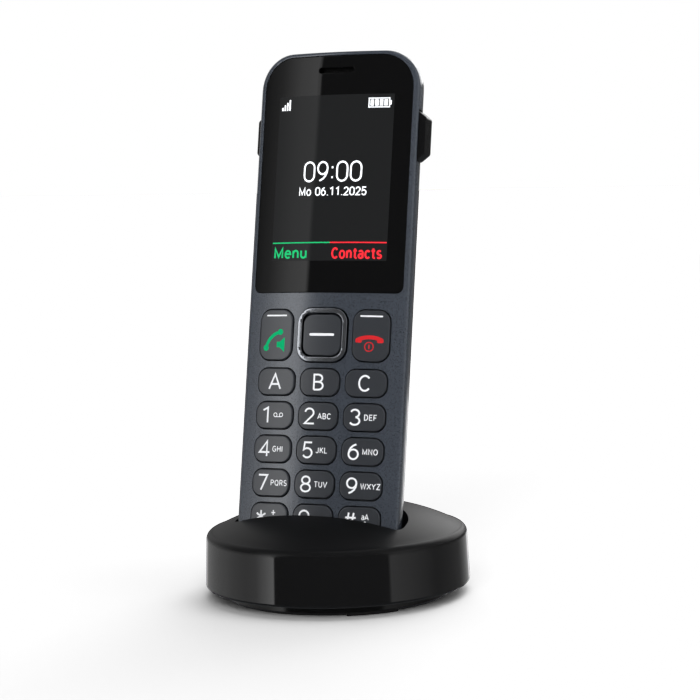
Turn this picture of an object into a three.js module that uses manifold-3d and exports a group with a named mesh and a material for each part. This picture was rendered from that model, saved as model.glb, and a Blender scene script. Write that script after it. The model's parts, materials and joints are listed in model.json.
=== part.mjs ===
// Cordless phone handset standing in its round charging base.
// Millimetres, +Z up. The origin is the centre of the base's footprint, on the surface it stands on.
// The handset is modelled upright in its own frame: X across, Y from the front face backwards,
// Z from the bottom end upwards. One group then leans it back into the base.
import * as THREE from "three";
import { mergeVertices } from "three/addons/utils/BufferGeometryUtils.js";
import Module from "manifold-3d";

const wasm = await Module();
wasm.setup();

// ---------- driving dimensions ----------
const clearance = 0.3; // between pieces that touch or slide

const phone = {
  halfWidth: 25.35,
  length: 151.2,
  faceRadius: 128.7, // the front face is a shallow cylinder
  edgeRound: 0.6, // rounding where the face meets the side
  sideDepth: 3, // depth at which the back starts to curve in
  backDepth: 20.5, // further depth of the curved back
  seamDepth: 4.6, // parting plane between the two shells
  wall: 1.8,
  topCorner: 10.5,
  bottomCorner: 7,
  endRun: 14, // length over which the back rounds off at each end
  bottomTrim: 1, // cut off square to give the flat bottom
};
const lean = THREE.MathUtils.degToRad(11.5);
const seat = { y: -19.4, z: 10.8 }; // where the handset's bottom front edge sits

const pad = { // keypad grid
  pitchX: 14.26,
  pitchZ: 9.84,
  bottomRow: 14.4,
  webX: 1.26, // of the face left between two keys
  webZ: 1.34,
  corner: 3.4,
  proud: 0.6, // how far a key stands out of the face
  flangeTop: 4.4,
  flangeBottom: 5.2,
  flangeLap: 0.25, // how far a flange reaches past its hole
};
const keyRows = [
  ["key_star", "key_0", "key_hash"],
  ["key_7", "key_8", "key_9"],
  ["key_4", "key_5", "key_6"],
  ["key_1", "key_2", "key_3"],
  ["key_a", "key_b", "key_c"],
];
const menu = { // call key, end key and the navigation ring
  z: 67.5,
  ringHalf: 8.15,
  ringCorner: 4.6,
  ringWidth: 1.4,
  ringProud: 0.9,
  centreHalf: 6,
  centreCorner: 2.9,
  softX: 15.1,
  softHalfX: 5.8,
  softHalfZ: 7.75,
  softCorner: 3.8,
};
const lens = { halfWidth: 23.6, bottom: 80, topInset: 1.3, topCorner: 9.3, bottomCorner: 2, thick: 1.2 };
const ledge = { thick: 1.2 }; // shelf that the lens is bonded to
const screen = { // display module, its active area and its place
  activeX: 36.7,
  activeZ: 49,
  activeBottom: 89.2,
  moduleX: 41.6,
  moduleZ: 60.3,
  moduleBottom: 80.9,
  front: 4.9,
  thick: 2.2,
};
const ear = { // slot, the gauze behind it and the capsule behind that
  z: phone.length - 5.6,
  slotHalf: 5.65,
  slotHeight: 1.6,
  meshHalfX: 6.3,
  meshHalfZ: 1.5,
  meshFront: 1.6,
  meshThick: 0.4,
  capsuleHalfX: 7.5,
  capsuleHalfZ: 3,
  capsuleFront: 3.4,
  capsuleThick: 3.2,
};
const mouth = { z: 5.8, front: 4.6, thick: 2.2, radius: 2 }; // microphone
const board = { front: 7.4, thick: 1.2, sideGap: 0.4, bottom: 3.2, topGap: 4.2 };
const mat = { front: 6.4, thick: 0.7, studTop: 5.85 };
const sideKeys = { // the right one rocks, the left one presses in
  front: 3.7,
  back: 8.6,
  flangeLap: 0.3, // how far the flange that keeps a key in reaches past its back
  flangeGap: 0.35, // between the flange and the shell's inside
  flangeThick: 0.8,
  right: { side: 1, z: 126.3, halfLength: 7.3, outerX: 27.6, chamfer: 2.1 },
  left: { side: -1, z: 126.8, halfLength: 6.4, outerX: 26.4, chamfer: 1.6 },
};
const cell = { radius: 5.25, length: 44.5, x: 5.6, coverGap: 0.3, bottom: 31.3 };
const spring = { turns: 2.5, radius: 2.6, taper: 0.35, high: 3, gap: 0.4, wire: 0.3 };
const bay = { halfX: 11.4, bottom: 27.5, top: 80.5, floorFront: 9.2, wall: 1.2 };
const cover = { halfX: 15.5, bottom: 23.5, top: 84.5, corner: 5, thick: 1.5, gap: 0.25 };
const speaker = { z: 116, radius: 10, depth: 4.5, shellGap: 0.6, slots: 5, slotPitch: 2.6, slotHeight: 1.2 };
const pads = { x: 9, y: 7.1, sizeX: 5, sizeY: 3, thick: 0.45, recess: 0.8 }; // charging contacts

const base = {
  wallTopRadius: 38.35,
  wallBottomRadius: 38.9,
  wallTop: 17.4,
  wallBottom: 3.4,
  edgeRound: 0.9,
  crown: 27.4, // height of the dome's middle
  domeSquare: 0.00461, // the dome falls by this times the radius squared
  domeFourth: 0.96e-6, // and by this times its fourth power
  shoulder: 36.4, // radius where the dome rounds into the wall
  wall: 2,
  segments: 40,
};
const slot = { // room for the handset in the base, as gaps round it
  front: 1.1,
  side: 1.2,
  back: 1.2,
  wall: 1.6,
  floorGap: 0.35,
  floor: 1.6,
  lowest: 6,
  corner: 3,
};
const foot = { radius: 33.4, bottom: 0.6, plate: 1.8, rimRadius: 36.3, rimTop: 5.2, rimWall: 1.6 };
const rubber = { outer: 33, inner: 29.2, thick: 1.2, spanDeg: 27, atDeg: [-48.5, 71.5, 191.5] };
const plug = { halfX: 4.6, front: 15, back: 30.5, roof: 8.5, wall: 1.2, channelHalf: 2.3, channelRoof: 4.8 };
const screwBase = { radius: 26, atDeg: [30, 150, 270], head: 2.2, headHigh: 1.5, shaft: 1.15, length: 8 };
const screwPhone = {
  x: 13.4,
  z: 78.4,
  coverGap: 0.7, // from the head to the battery cover
  head: 1.7,
  headHigh: 1.2,
  shaft: 0.95,
  tip: 4,
  post: 2,
};

// ---------- sizes that follow from them ----------
// Half the width, and the depth, of the curved back when it is shrunk by an inset.
const halfWidthAt = (depth, inset) =>
  (phone.halfWidth - inset) * Math.sqrt(1 - ((depth - phone.sideDepth) / (phone.backDepth - inset)) ** 2);
const depthAt = (x, inset) =>
  phone.sideDepth + (phone.backDepth - inset) * Math.sqrt(1 - (x / (phone.halfWidth - inset)) ** 2);
const keyHalfX = (pad.pitchX - pad.webX) / 2;
const keyHalfZ = (pad.pitchZ - pad.webZ) / 2;
const flangeX = halfWidthAt(sideKeys.back + sideKeys.flangeLap, phone.wall) - sideKeys.flangeGap;
const boardHalfWidth = flangeX - sideKeys.flangeThick - board.sideGap;
const boardTop = phone.length - board.topGap;
const cellDepth = depthAt(cell.x, cover.thick) - cell.radius - cell.coverGap;
const speakerFront = depthAt(speaker.radius, phone.wall) - speaker.shellGap - speaker.depth;
const screwBack = depthAt(screwPhone.x + screwPhone.head, cover.thick) - screwPhone.coverGap;
const screwHeadAt = screwBack - screwPhone.headHigh;

// ---------- solids ----------
// A closed three.js geometry as a manifold solid, turned the right way out.
function toSolid(geometry) {
  const bare = new THREE.BufferGeometry();
  const flat = geometry.index ? geometry.toNonIndexed() : geometry;
  bare.setAttribute("position", flat.getAttribute("position").clone());
  const merged = mergeVertices(bare, 1e-4);
  const make = (triVerts) =>
    new wasm.Manifold(
      new wasm.Mesh({ numProp: 3, vertProperties: merged.attributes.position.array, triVerts }),
    );
  const faces = new Uint32Array(merged.index.array);
  const made = make(faces);
  if (made.volume() > 0) return made;
  for (let i = 0; i < faces.length; i += 3) [faces[i + 1], faces[i + 2]] = [faces[i + 2], faces[i + 1]];
  return make(faces);
}

function toGeometry(solid) {
  const mesh = solid.getMesh();
  const points = new Float32Array(mesh.numVert * 3);
  for (let i = 0; i < mesh.numVert; i++) {
    const from = i * mesh.numProp;
    points.set(mesh.vertProperties.subarray(from, from + 3), i * 3);
  }
  const geometry = new THREE.BufferGeometry();
  geometry.setAttribute("position", new THREE.BufferAttribute(points, 3));
  geometry.setIndex(new THREE.BufferAttribute(mesh.triVerts, 1));
  geometry.computeVertexNormals();
  return geometry;
}

const join = (...solids) => solids.reduce((a, b) => a.add(b));
const cut = (from, ...tools) => tools.reduce((a, b) => a.subtract(b), from);

function block(x0, x1, y0, y1, z0, z1) {
  const geometry = new THREE.BoxGeometry(x1 - x0, y1 - y0, z1 - z0);
  return toSolid(geometry.translate((x0 + x1) / 2, (y0 + y1) / 2, (z0 + z1) / 2));
}

// A shape drawn in X and Z, pushed out along Y.
function prismY(shape, y0, y1, arcSteps = 4) {
  const options = { depth: y1 - y0, bevelEnabled: false, curveSegments: arcSteps };
  const geometry = new THREE.ExtrudeGeometry(shape, options).rotateX(Math.PI / 2);
  return toSolid(geometry.translate(0, y1, 0));
}

// A shape drawn in X and Y, pushed up along Z.
function prismZ(shape, z0, z1, arcSteps = 4) {
  const options = { depth: z1 - z0, bevelEnabled: false, curveSegments: arcSteps };
  return toSolid(new THREE.ExtrudeGeometry(shape, options).translate(0, 0, z0));
}

function rod(axis, radius, from, to, [a, b], sides = 16) {
  const geometry = new THREE.CylinderGeometry(radius, radius, to - from, sides);
  const middle = (from + to) / 2;
  if (axis === "z") geometry.rotateX(Math.PI / 2).translate(a, b, middle);
  if (axis === "y") geometry.translate(a, middle, b);
  return toSolid(geometry);
}

function turned(points, segments = base.segments) {
  const profile = points.map(([r, z]) => new THREE.Vector2(r, z));
  return toSolid(new THREE.LatheGeometry(profile, segments).rotateX(Math.PI / 2));
}

// A rectangle with round corners, whose top and bottom corners may differ.
function roundedRect(cx, cy, halfX, halfY, radius, lowRadius = radius) {
  const shape = new THREE.Shape();
  const [left, right, low, high] = [cx - halfX, cx + halfX, cy - halfY, cy + halfY];
  shape.moveTo(left + lowRadius, low);
  shape.absarc(right - lowRadius, low + lowRadius, lowRadius, -Math.PI / 2, 0);
  shape.absarc(right - radius, high - radius, radius, 0, Math.PI / 2);
  shape.absarc(left + radius, high - radius, radius, Math.PI / 2, Math.PI);
  shape.absarc(left + lowRadius, low + lowRadius, lowRadius, Math.PI, Math.PI * 1.5);
  return shape;
}

// ---------- the handset's outer form ----------
const faceSag = (x) => phone.faceRadius - Math.sqrt(phone.faceRadius ** 2 - x * x);

// The slab between two depths that both follow the curved front face.
function faceSlab(front, back, z0, z1, middle = 0, reach = phone.halfWidth + 2, steps = 10) {
  const across = Array.from({ length: steps + 1 }, (_, i) => middle - reach + (2 * reach * i) / steps);
  const shape = new THREE.Shape([
    ...across.map((x) => new THREE.Vector2(x, faceSag(x) + front)),
    ...across.reverse().map((x) => new THREE.Vector2(x, faceSag(x) + back)),
  ]);
  return prismZ(shape, z0, z1);
}

// Points round the handset's front outline, each with the point on the middle line it shrinks towards.
function outlineSpokes() {
  const { halfWidth, length, topCorner, bottomCorner, bottomTrim, endRun } = phone;
  const low = -bottomTrim;
  const arcSteps = 4;
  const spokes = [];
  const addArc = (x, z, radius, start) => {
    for (let i = 0; i <= arcSteps; i++) {
      const turn = start + ((Math.PI / 2) * i) / arcSteps;
      spokes.push([x + radius * Math.cos(turn), z + radius * Math.sin(turn)]);
    }
  };
  const addEnd = (z, x0, x1) => [0.25, 0.5, 0.75].forEach((part) => spokes.push([x0 + (x1 - x0) * part, z]));
  const addSide = (x, z0, z1) => spokes.push([x, z0], [x, z1]);
  const [topX, lowX] = [halfWidth - topCorner, halfWidth - bottomCorner];
  addArc(topX, length - topCorner, topCorner, 0);
  addEnd(length, topX, -topX);
  addArc(-topX, length - topCorner, topCorner, Math.PI / 2);
  addSide(-halfWidth, length - endRun, low + endRun);
  addArc(-lowX, low + bottomCorner, bottomCorner, Math.PI);
  addEnd(low, -lowX, lowX);
  addArc(lowX, low + bottomCorner, bottomCorner, Math.PI * 1.5);
  addSide(halfWidth, low + endRun, length - endRun);
  return spokes.map(([x, z]) => ({ x, z, middleZ: THREE.MathUtils.clamp(z, low + endRun, length - endRun) }));
}

// A lathe profile of [share of the way from the middle line to the outline, depth], set on the outline.
// A third value of 1 makes that ring follow the curved face.
function onOutline(profile, inset = 0) {
  const spokes = outlineSpokes();
  const lathe = new THREE.LatheGeometry(
    profile.map(([share, depth]) => new THREE.Vector2(share, depth)),
    spokes.length,
  );
  const place = lathe.getAttribute("position");
  for (let i = 0; i < place.count; i++) {
    const { x, z, middleZ } = spokes[Math.floor(i / profile.length) % spokes.length];
    const [share, depth, followsFace] = profile[i % profile.length];
    const run = Math.hypot(x, z - middleZ);
    const kept = share * Math.max(0, 1 - inset / run);
    const across = x * kept;
    place.setXYZ(i, across, depth + (followsFace ? faceSag(across) : 0), middleZ + (z - middleZ) * kept);
  }
  return toSolid(lathe);
}

// The front half, from the face back to a flat plane.
function frontForm(inset, front, back) {
  const share = 1 - phone.edgeRound / phone.halfWidth;
  const steps = 3;
  const rounding = Array.from({ length: steps + 1 }, (_, i) => {
    const turn = ((Math.PI / 2) * i) / steps;
    const out = share + (1 - share) * Math.sin(turn);
    return [out, front + phone.edgeRound * (1 - Math.cos(turn)), 1];
  });
  const spread = [0.35, 0.7].map((part) => [part, front, 1]);
  return onOutline([[0, front, 1], ...spread, ...rounding, [1, back], [0, back]], inset);
}

// The curved back, from a flat plane at the given depth to its deepest point.
function backForm(inset, front) {
  const depth = phone.backDepth - inset;
  const start = Math.asin(Math.max(0, front - phone.sideDepth) / depth);
  const steps = 6;
  const curve = Array.from({ length: steps + 1 }, (_, i) => {
    const turn = start + ((Math.PI / 2 - start) * i) / steps;
    return [i === steps ? 0 : Math.cos(turn), phone.sideDepth + depth * Math.sin(turn)];
  });
  return onOutline([[0, front], ...curve], inset);
}

const bottomCut = () => block(-40, 40, -10, 40, -10, 0);
const aboveBottom = (level) => block(-40, 40, -10, 60, level, 200);

// ---------- keys ----------
function keyHole(cx, cz, halfX, halfZ, corner, back = 6) {
  return prismY(roundedRect(cx, cz, halfX, halfZ, corner), -3, back, 3);
}

function keyCap(cx, cz, hole, proud, flanged = true) {
  const cap = prismY(
    roundedRect(cx, cz, hole.halfX - clearance, hole.halfZ - clearance, hole.corner - clearance),
    -3,
    pad.flangeBottom,
    3,
  ).intersect(faceSlab(-proud, pad.flangeBottom + 3, cz - 12, cz + 12, cx, 9, 4));
  if (!flanged) return cap;
  const lap = pad.flangeLap;
  const flange = roundedRect(cx, cz, hole.halfX + lap, hole.halfZ + lap, hole.corner + lap);
  return cap.add(prismY(flange, pad.flangeTop, pad.flangeBottom, 1));
}

const gridHole = { halfX: keyHalfX, halfZ: keyHalfZ, corner: Math.min(pad.corner, keyHalfZ - 0.5) };
const softHole = { halfX: menu.softHalfX, halfZ: menu.softHalfZ, corner: menu.softCorner };
const ringHole = { halfX: menu.ringHalf, halfZ: menu.ringHalf, corner: menu.ringCorner };
const gridPlace = (row, column) => [(column - 1) * pad.pitchX, pad.bottomRow + row * pad.pitchZ];

function allKeyPlaces() {
  const places = keyRows.flatMap((names, row) =>
    names.map((name, column) => ({ name, at: gridPlace(row, column), hole: gridHole })),
  );
  places.push({ name: "call_key", at: [-menu.softX, menu.z], hole: softHole });
  places.push({ name: "end_key", at: [menu.softX, menu.z], hole: softHole });
  return places;
}

function navigationRing() {
  const outer = keyCap(0, menu.z, ringHole, menu.ringProud);
  const half = menu.ringHalf - clearance - menu.ringWidth;
  const hole = roundedRect(0, menu.z, half, half, menu.ringCorner - clearance - menu.ringWidth);
  return outer.subtract(prismY(hole, -5, 10));
}

function centreKey() {
  const hole = {
    halfX: menu.centreHalf + clearance,
    halfZ: menu.centreHalf + clearance,
    corner: menu.centreCorner + clearance,
  };
  return keyCap(0, menu.z, hole, pad.proud, false);
}

// The hexagonal bar of a side key, with a flange inside the wall.
function sideKeySolid({ side, z, halfLength, outerX, chamfer }) {
  const { front, back, flangeLap, flangeThick } = sideKeys;
  const edgeX = phone.halfWidth - 0.4;
  const half = [[flangeX - flangeThick / 2, halfLength], [edgeX, halfLength], [outerX, halfLength - chamfer]];
  const outline = [...half, ...half.toReversed().map(([x, run]) => [x, -run])];
  const bar = new THREE.Shape(outline.map(([x, run]) => new THREE.Vector2(side * x, z + run)));
  const flange = [side * flangeX, side * (flangeX - flangeThick)].sort((a, b) => a - b);
  const lap = 0.8;
  return join(
    prismY(bar, front, back),
    block(...flange, front + 1.4, back + flangeLap, z - halfLength - lap, z + halfLength + lap),
  );
}

function sideKeyHole({ side, z, halfLength }) {
  const [x0, x1] = side > 0 ? [0, 40] : [-40, 0];
  const { front, back } = sideKeys;
  const half = halfLength + clearance;
  return block(x0, x1, front - clearance, back + clearance, z - half, z + half);
}
const sideKeyHoles = () => [sideKeyHole(sideKeys.right), sideKeyHole(sideKeys.left)];

// ---------- handset shells ----------
const lensTop = phone.length - lens.topInset;
function lensShape(grow = 0) {
  const halfZ = (lensTop - lens.bottom) / 2 + grow;
  const middle = (lensTop + lens.bottom) / 2;
  const corners = [lens.topCorner + grow, lens.bottomCorner + grow];
  return roundedRect(0, middle, lens.halfWidth + grow, halfZ, ...corners);
}
const lensBack = lens.thick + clearance;

function earSlot(grow = 0) {
  const half = ear.slotHeight / 2 + grow;
  return roundedRect(0, ear.z, ear.slotHalf + grow, half, half - 0.01);
}

// A rod at each of the two handset screws.
function screwPosts(radius, y0, y1) {
  const { x, z } = screwPhone;
  return join(rod("y", radius, y0, y1, [-x, z], 12), rod("y", radius, y0, y1, [x, z], 12));
}

function frontShell() {
  const outer = frontForm(0, 0, phone.seamDepth);
  const inner = frontForm(phone.wall, phone.wall, phone.seamDepth + 1);
  let shell = outer.subtract(inner.intersect(aboveBottom(phone.wall)));
  shell = shell.add(screwPosts(screwPhone.post, phone.wall - 0.5, board.front - clearance));
  const shelf = prismY(lensShape(-0.2), -1, 10)
    .intersect(faceSlab(lensBack, lensBack + ledge.thick, lens.bottom - 5, phone.length))
    .intersect(frontForm(phone.wall / 2, 0, phone.seamDepth));
  shell = shell.subtract(prismY(lensShape(clearance / 2), -3, 4.5).intersect(
    faceSlab(-3, lensBack, lens.bottom - 5, phone.length),
  ));
  shell = shell.add(shelf);
  const windowShape = roundedRect(
    0,
    screen.activeBottom + screen.activeZ / 2,
    screen.activeX / 2 + 1,
    screen.activeZ / 2 + 1,
    1,
  );
  shell = cut(shell, prismY(windowShape, -3, 9, 2), prismY(earSlot(-0.2), -3, 9, 3));
  shell = shell.subtract(block(-6.7, 6.7, -1, 2.3, ear.z - 1.8, ear.z + 1.8));
  for (const { at, hole } of allKeyPlaces()) {
    shell = shell.subtract(keyHole(...at, hole.halfX, hole.halfZ, hole.corner));
  }
  shell = shell.subtract(keyHole(0, menu.z, menu.ringHalf, menu.ringHalf, menu.ringCorner));
  const threads = screwPosts(screwPhone.shaft + 0.15, screwPhone.tip - 0.3, 12);
  return cut(shell, threads, ...sideKeyHoles(), rod("y", 0.6, -2, 6, [0, 5], 8), bottomCut());
}

function coverShape(grow = 0) {
  const middle = (cover.top + cover.bottom) / 2;
  const halfZ = (cover.top - cover.bottom) / 2 + grow;
  return roundedRect(0, middle, cover.halfX + grow, halfZ, cover.corner + grow);
}

function grilleSlots() {
  const middle = (speaker.slots - 1) / 2;
  return Array.from({ length: speaker.slots }, (_, i) => {
    const off = (i - middle) * speaker.slotPitch;
    const half = Math.sqrt((speaker.radius - 2) ** 2 - off * off);
    const high = speaker.slotHeight / 2;
    const shape = roundedRect(0, speaker.z + off, half, high, high - 0.01);
    return prismY(shape, 12, 30, 3);
  });
}

function rearShell() {
  const seam = phone.seamDepth + clearance / 2;
  const outer = backForm(0, seam);
  const inner = backForm(phone.wall, seam - 1).intersect(aboveBottom(phone.wall));
  const bayRoom = roundedRect(0, (bay.top + bay.bottom) / 2, bay.halfX, (bay.top - bay.bottom) / 2, 1.5);
  const rim = prismY(coverShape(1), bay.floorFront, 30).intersect(backForm(phone.wall * 0.5, seam));
  const floor = bay.floorFront + bay.wall;
  const coverBed = prismY(coverShape(cover.gap), 10, 30).subtract(backForm(cover.thick + cover.gap, 5));
  let shell = cut(outer.subtract(inner).add(rim), coverBed, prismY(bayRoom, floor, 30, 2));
  shell = cut(shell, ...grilleSlots(), ...sideKeyHoles(), bottomCut());
  for (const side of [-1, 1]) {
    const x = side * pads.x;
    const grow = 0.15;
    const [halfX, halfY] = [pads.sizeX / 2 + grow, pads.sizeY / 2 + grow];
    shell = shell.subtract(
      block(x - halfX, x + halfX, pads.y - halfY, pads.y + halfY, -1, pads.recess + pads.thick + grow),
    );
  }
  const { shaft, head } = screwPhone;
  return cut(shell, screwPosts(shaft + 0.15, 5, 30), screwPosts(head + 0.2, screwHeadAt - 0.2, 30));
}

function batteryCover() {
  const skin = prismY(coverShape(), 10, 30).intersect(backForm(0, 5)).subtract(backForm(cover.thick, 4));
  const ridges = [0, 1, 2, 3].map((i) =>
    block(-7, 7, 22.9, 30, cover.top - 8 - i * 2.2, cover.top - 7.2 - i * 2.2),
  );
  return cut(skin, ...ridges);
}

// ---------- handset insides ----------
function keyMat() {
  const low = pad.bottomRow - keyHalfZ - 1;
  const high = menu.z + menu.softHalfZ + 1;
  const outline = roundedRect(0, (low + high) / 2, 21, (high - low) / 2, 3);
  const sheet = prismY(outline, mat.front, mat.front + mat.thick, 2);
  const places = [...allKeyPlaces().map(({ at }) => at), [0, menu.z]];
  return join(sheet, ...places.map((at) => rod("y", 2, mat.studTop, mat.front + 0.1, at, 6)));
}

function mainBoard() {
  const { front, thick, bottom } = board;
  const shape = roundedRect(0, (boardTop + bottom) / 2, boardHalfWidth, (boardTop - bottom) / 2, 8, 4);
  return cut(prismY(shape, front, front + thick, 3), screwPosts(screwPhone.shaft + 0.6, 5, 12));
}

function displayLens() {
  const slab = faceSlab(0, lens.thick, lens.bottom - 2, phone.length);
  return prismY(lensShape(), -3, 9, 6).intersect(slab).subtract(prismY(earSlot(), -3, 9, 3));
}

function earpieceMesh() {
  const { meshHalfX, meshHalfZ, meshFront, meshThick, z } = ear;
  return block(-meshHalfX, meshHalfX, meshFront, meshFront + meshThick, z - meshHalfZ, z + meshHalfZ);
}

function earpieceSpeaker() {
  const { capsuleHalfX, capsuleHalfZ, capsuleFront, capsuleThick, z } = ear;
  const back = capsuleFront + capsuleThick;
  return block(-capsuleHalfX, capsuleHalfX, capsuleFront, back, z - capsuleHalfZ, z + capsuleHalfZ);
}

function displayModule() {
  const { moduleX, moduleZ, moduleBottom, front, thick, activeX, activeZ, activeBottom } = screen;
  const frame = block(-moduleX / 2, moduleX / 2, front, front + thick, moduleBottom, moduleBottom + moduleZ);
  const glass = block(
    -activeX / 2, activeX / 2, front - 1, front + 0.3, activeBottom, activeBottom + activeZ,
  );
  return frame.subtract(glass);
}

function batterySpring(side) {
  const coil = new THREE.Curve();
  const { turns, radius, taper, high, gap } = spring;
  coil.getPoint = (t) => {
    const turn = t * turns * Math.PI * 2;
    const r = radius * (1 - taper * t);
    return new THREE.Vector3(
      side * cell.x + r * Math.cos(turn),
      cellDepth + r * Math.sin(turn),
      cell.bottom - gap - high * (1 - t),
    );
  };
  const wire = new THREE.Shape();
  wire.absarc(0, 0, spring.wire, 0, Math.PI * 2);
  const path = { steps: 22, extrudePath: coil, bevelEnabled: false, curveSegments: 3 };
  return toSolid(new THREE.ExtrudeGeometry(wire, path));
}

function batteryCell(side) {
  const place = [side * cell.x, cellDepth];
  const top = cell.bottom + cell.length;
  const can = rod("z", cell.radius, cell.bottom, top - 1, place, 20);
  return can.add(rod("z", 1.9, top - 1.1, top, place, 12));
}

function contactPlate(side) {
  const top = cell.bottom + cell.length;
  const x = side * cell.x;
  const plate = block(x - 4, x + 4, cellDepth - 4, cellDepth + 3.5, top + 0.9, top + 1.3);
  return plate.add(rod("z", 1.6, top + 0.3, top + 1, [x, cellDepth], 10));
}

function loudspeaker() {
  const place = [0, speaker.z];
  const back = speakerFront + speaker.depth;
  const magnet = rod("y", speaker.radius * 0.6, speakerFront - 1.6, speakerFront, place, 20);
  return join(rod("y", speaker.radius, speakerFront - 0.1, back, place, 28), magnet);
}

function phoneScrew(side) {
  const { head, shaft, tip } = screwPhone;
  const [x, z] = [side * screwPhone.x, screwPhone.z];
  const back = screwBack;
  const body = join(
    rod("y", shaft, tip, screwHeadAt + 0.1, [x, z], 8),
    rod("y", head, screwHeadAt, back, [x, z], 12),
  );
  return cut(
    body,
    block(x - 1.1, x + 1.1, back - 0.5, back + 1, z - 0.2, z + 0.2),
    block(x - 0.2, x + 0.2, back - 0.5, back + 1, z - 1.1, z + 1.1),
  );
}

// ---------- base ----------
const domeHeight = (r) => base.crown - base.domeSquare * r * r - base.domeFourth * r ** 4;

function domeProfile(inset, radii, turns) {
  const dome = radii.map((r) => [r, domeHeight(r) - inset]);
  const shoulder = turns.map((part) => {
    const turn = (Math.PI / 2) * part;
    const run = base.wallTopRadius - base.shoulder;
    const drop = domeHeight(base.shoulder) - base.wallTop;
    return [base.shoulder - inset + run * Math.sin(turn), base.wallTop + drop * Math.cos(turn) - inset * 0.6];
  });
  return [...dome, ...shoulder, [base.wallTopRadius - inset, base.wallTop - inset * 0.6]];
}

// Puts a geometry that was drawn in the handset's frame into the base's.
function leanBack(solid) {
  return toSolid(toGeometry(solid).rotateX(-lean).translate(0, seat.y, seat.z));
}

// The handset's cross-section, grown all round, as seen down its length.
function slotShape(grow) {
  const { halfWidth, sideDepth, backDepth } = phone;
  const half = halfWidth + slot.side + grow;
  const front = slot.front + grow;
  const shape = new THREE.Shape();
  const corner = slot.corner + grow;
  const edge = half - corner;
  const steps = 8;
  for (let i = 0; i <= steps; i++) {
    const x = -edge + (2 * edge * i) / steps;
    const y = faceSag(x) - front;
    if (i === 0) shape.moveTo(x, y);
    else shape.lineTo(x, y);
  }
  const cornerY = faceSag(edge) - front + corner;
  shape.absarc(edge, cornerY, corner, -Math.PI / 2, 0);
  const start = Math.max(sideDepth, cornerY + 0.2);
  shape.absellipse(0, start, half, backDepth + slot.back + grow, 0, Math.PI);
  shape.absarc(-edge, cornerY, corner, Math.PI, Math.PI * 1.5);
  return shape;
}

function baseTopShell() {
  const { wallBottomRadius, wallBottom, edgeRound, wall } = base;
  const outer = turned([
    ...domeProfile(0, [0, 12, 19, 25, 30, 34.4], [0.2, 0.5, 0.8]),
    [wallBottomRadius, wallBottom + edgeRound],
    [wallBottomRadius - edgeRound * 0.3, wallBottom + edgeRound * 0.3],
    [wallBottomRadius - edgeRound, wallBottom],
    [0, wallBottom],
  ]);
  const inner = turned([
    ...domeProfile(wall, [0, 20, 30], [0.5]),
    [wallBottomRadius - wall, wallBottom - 1],
    [0, wallBottom - 1],
  ]);
  const floorTop = -slot.floorGap;
  const floorUnder = floorTop - slot.floor;
  const above = (z) => block(-60, 60, -60, 60, z, 80);
  const underFloor = above(slot.lowest - slot.floor);
  const well = leanBack(prismZ(slotShape(slot.wall), floorUnder, 60, 6)).intersect(underFloor);
  const room = leanBack(prismZ(slotShape(0), floorTop, 90, 8)).intersect(above(slot.lowest));
  let hollow = inner.subtract(well);
  for (const degrees of screwBase.atDeg) {
    hollow = hollow.subtract(rod("z", 3, foot.rimTop - 0.3, 30, polar(screwBase.radius, degrees), 14));
  }
  let shell = outer.subtract(hollow).subtract(room);
  for (const degrees of screwBase.atDeg) {
    const place = polar(screwBase.radius, degrees);
    shell = shell.subtract(rod("z", screwBase.shaft + 0.15, 0, 13, place, 10));
  }
  const pinHoles = [-1, 1].map((side) => {
    const x = side * pads.x;
    return leanBack(block(x - 1.4, x + 1.4, pads.y - 0.9, pads.y + 0.9, floorUnder - 3, 5));
  });
  const backGap = block(-plug.channelHalf, plug.channelHalf, 30, 45, 0, plug.channelRoof);
  return cut(shell, ...pinHoles, backGap);
}

function polar(radius, degrees) {
  const turn = THREE.MathUtils.degToRad(degrees);
  return [radius * Math.cos(turn), radius * Math.sin(turn)];
}

function footShape(outer, inner, degrees, span) {
  const [from, to] = [degrees - span / 2, degrees + span / 2].map(THREE.MathUtils.degToRad);
  const shape = new THREE.Shape();
  shape.absarc(0, 0, outer, from, to);
  shape.absarc(0, 0, inner, to, from, true);
  return shape;
}

function rubberFoot(degrees) {
  return prismZ(footShape(rubber.outer, rubber.inner, degrees, rubber.spanDeg), 0, rubber.thick, 3);
}

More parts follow.
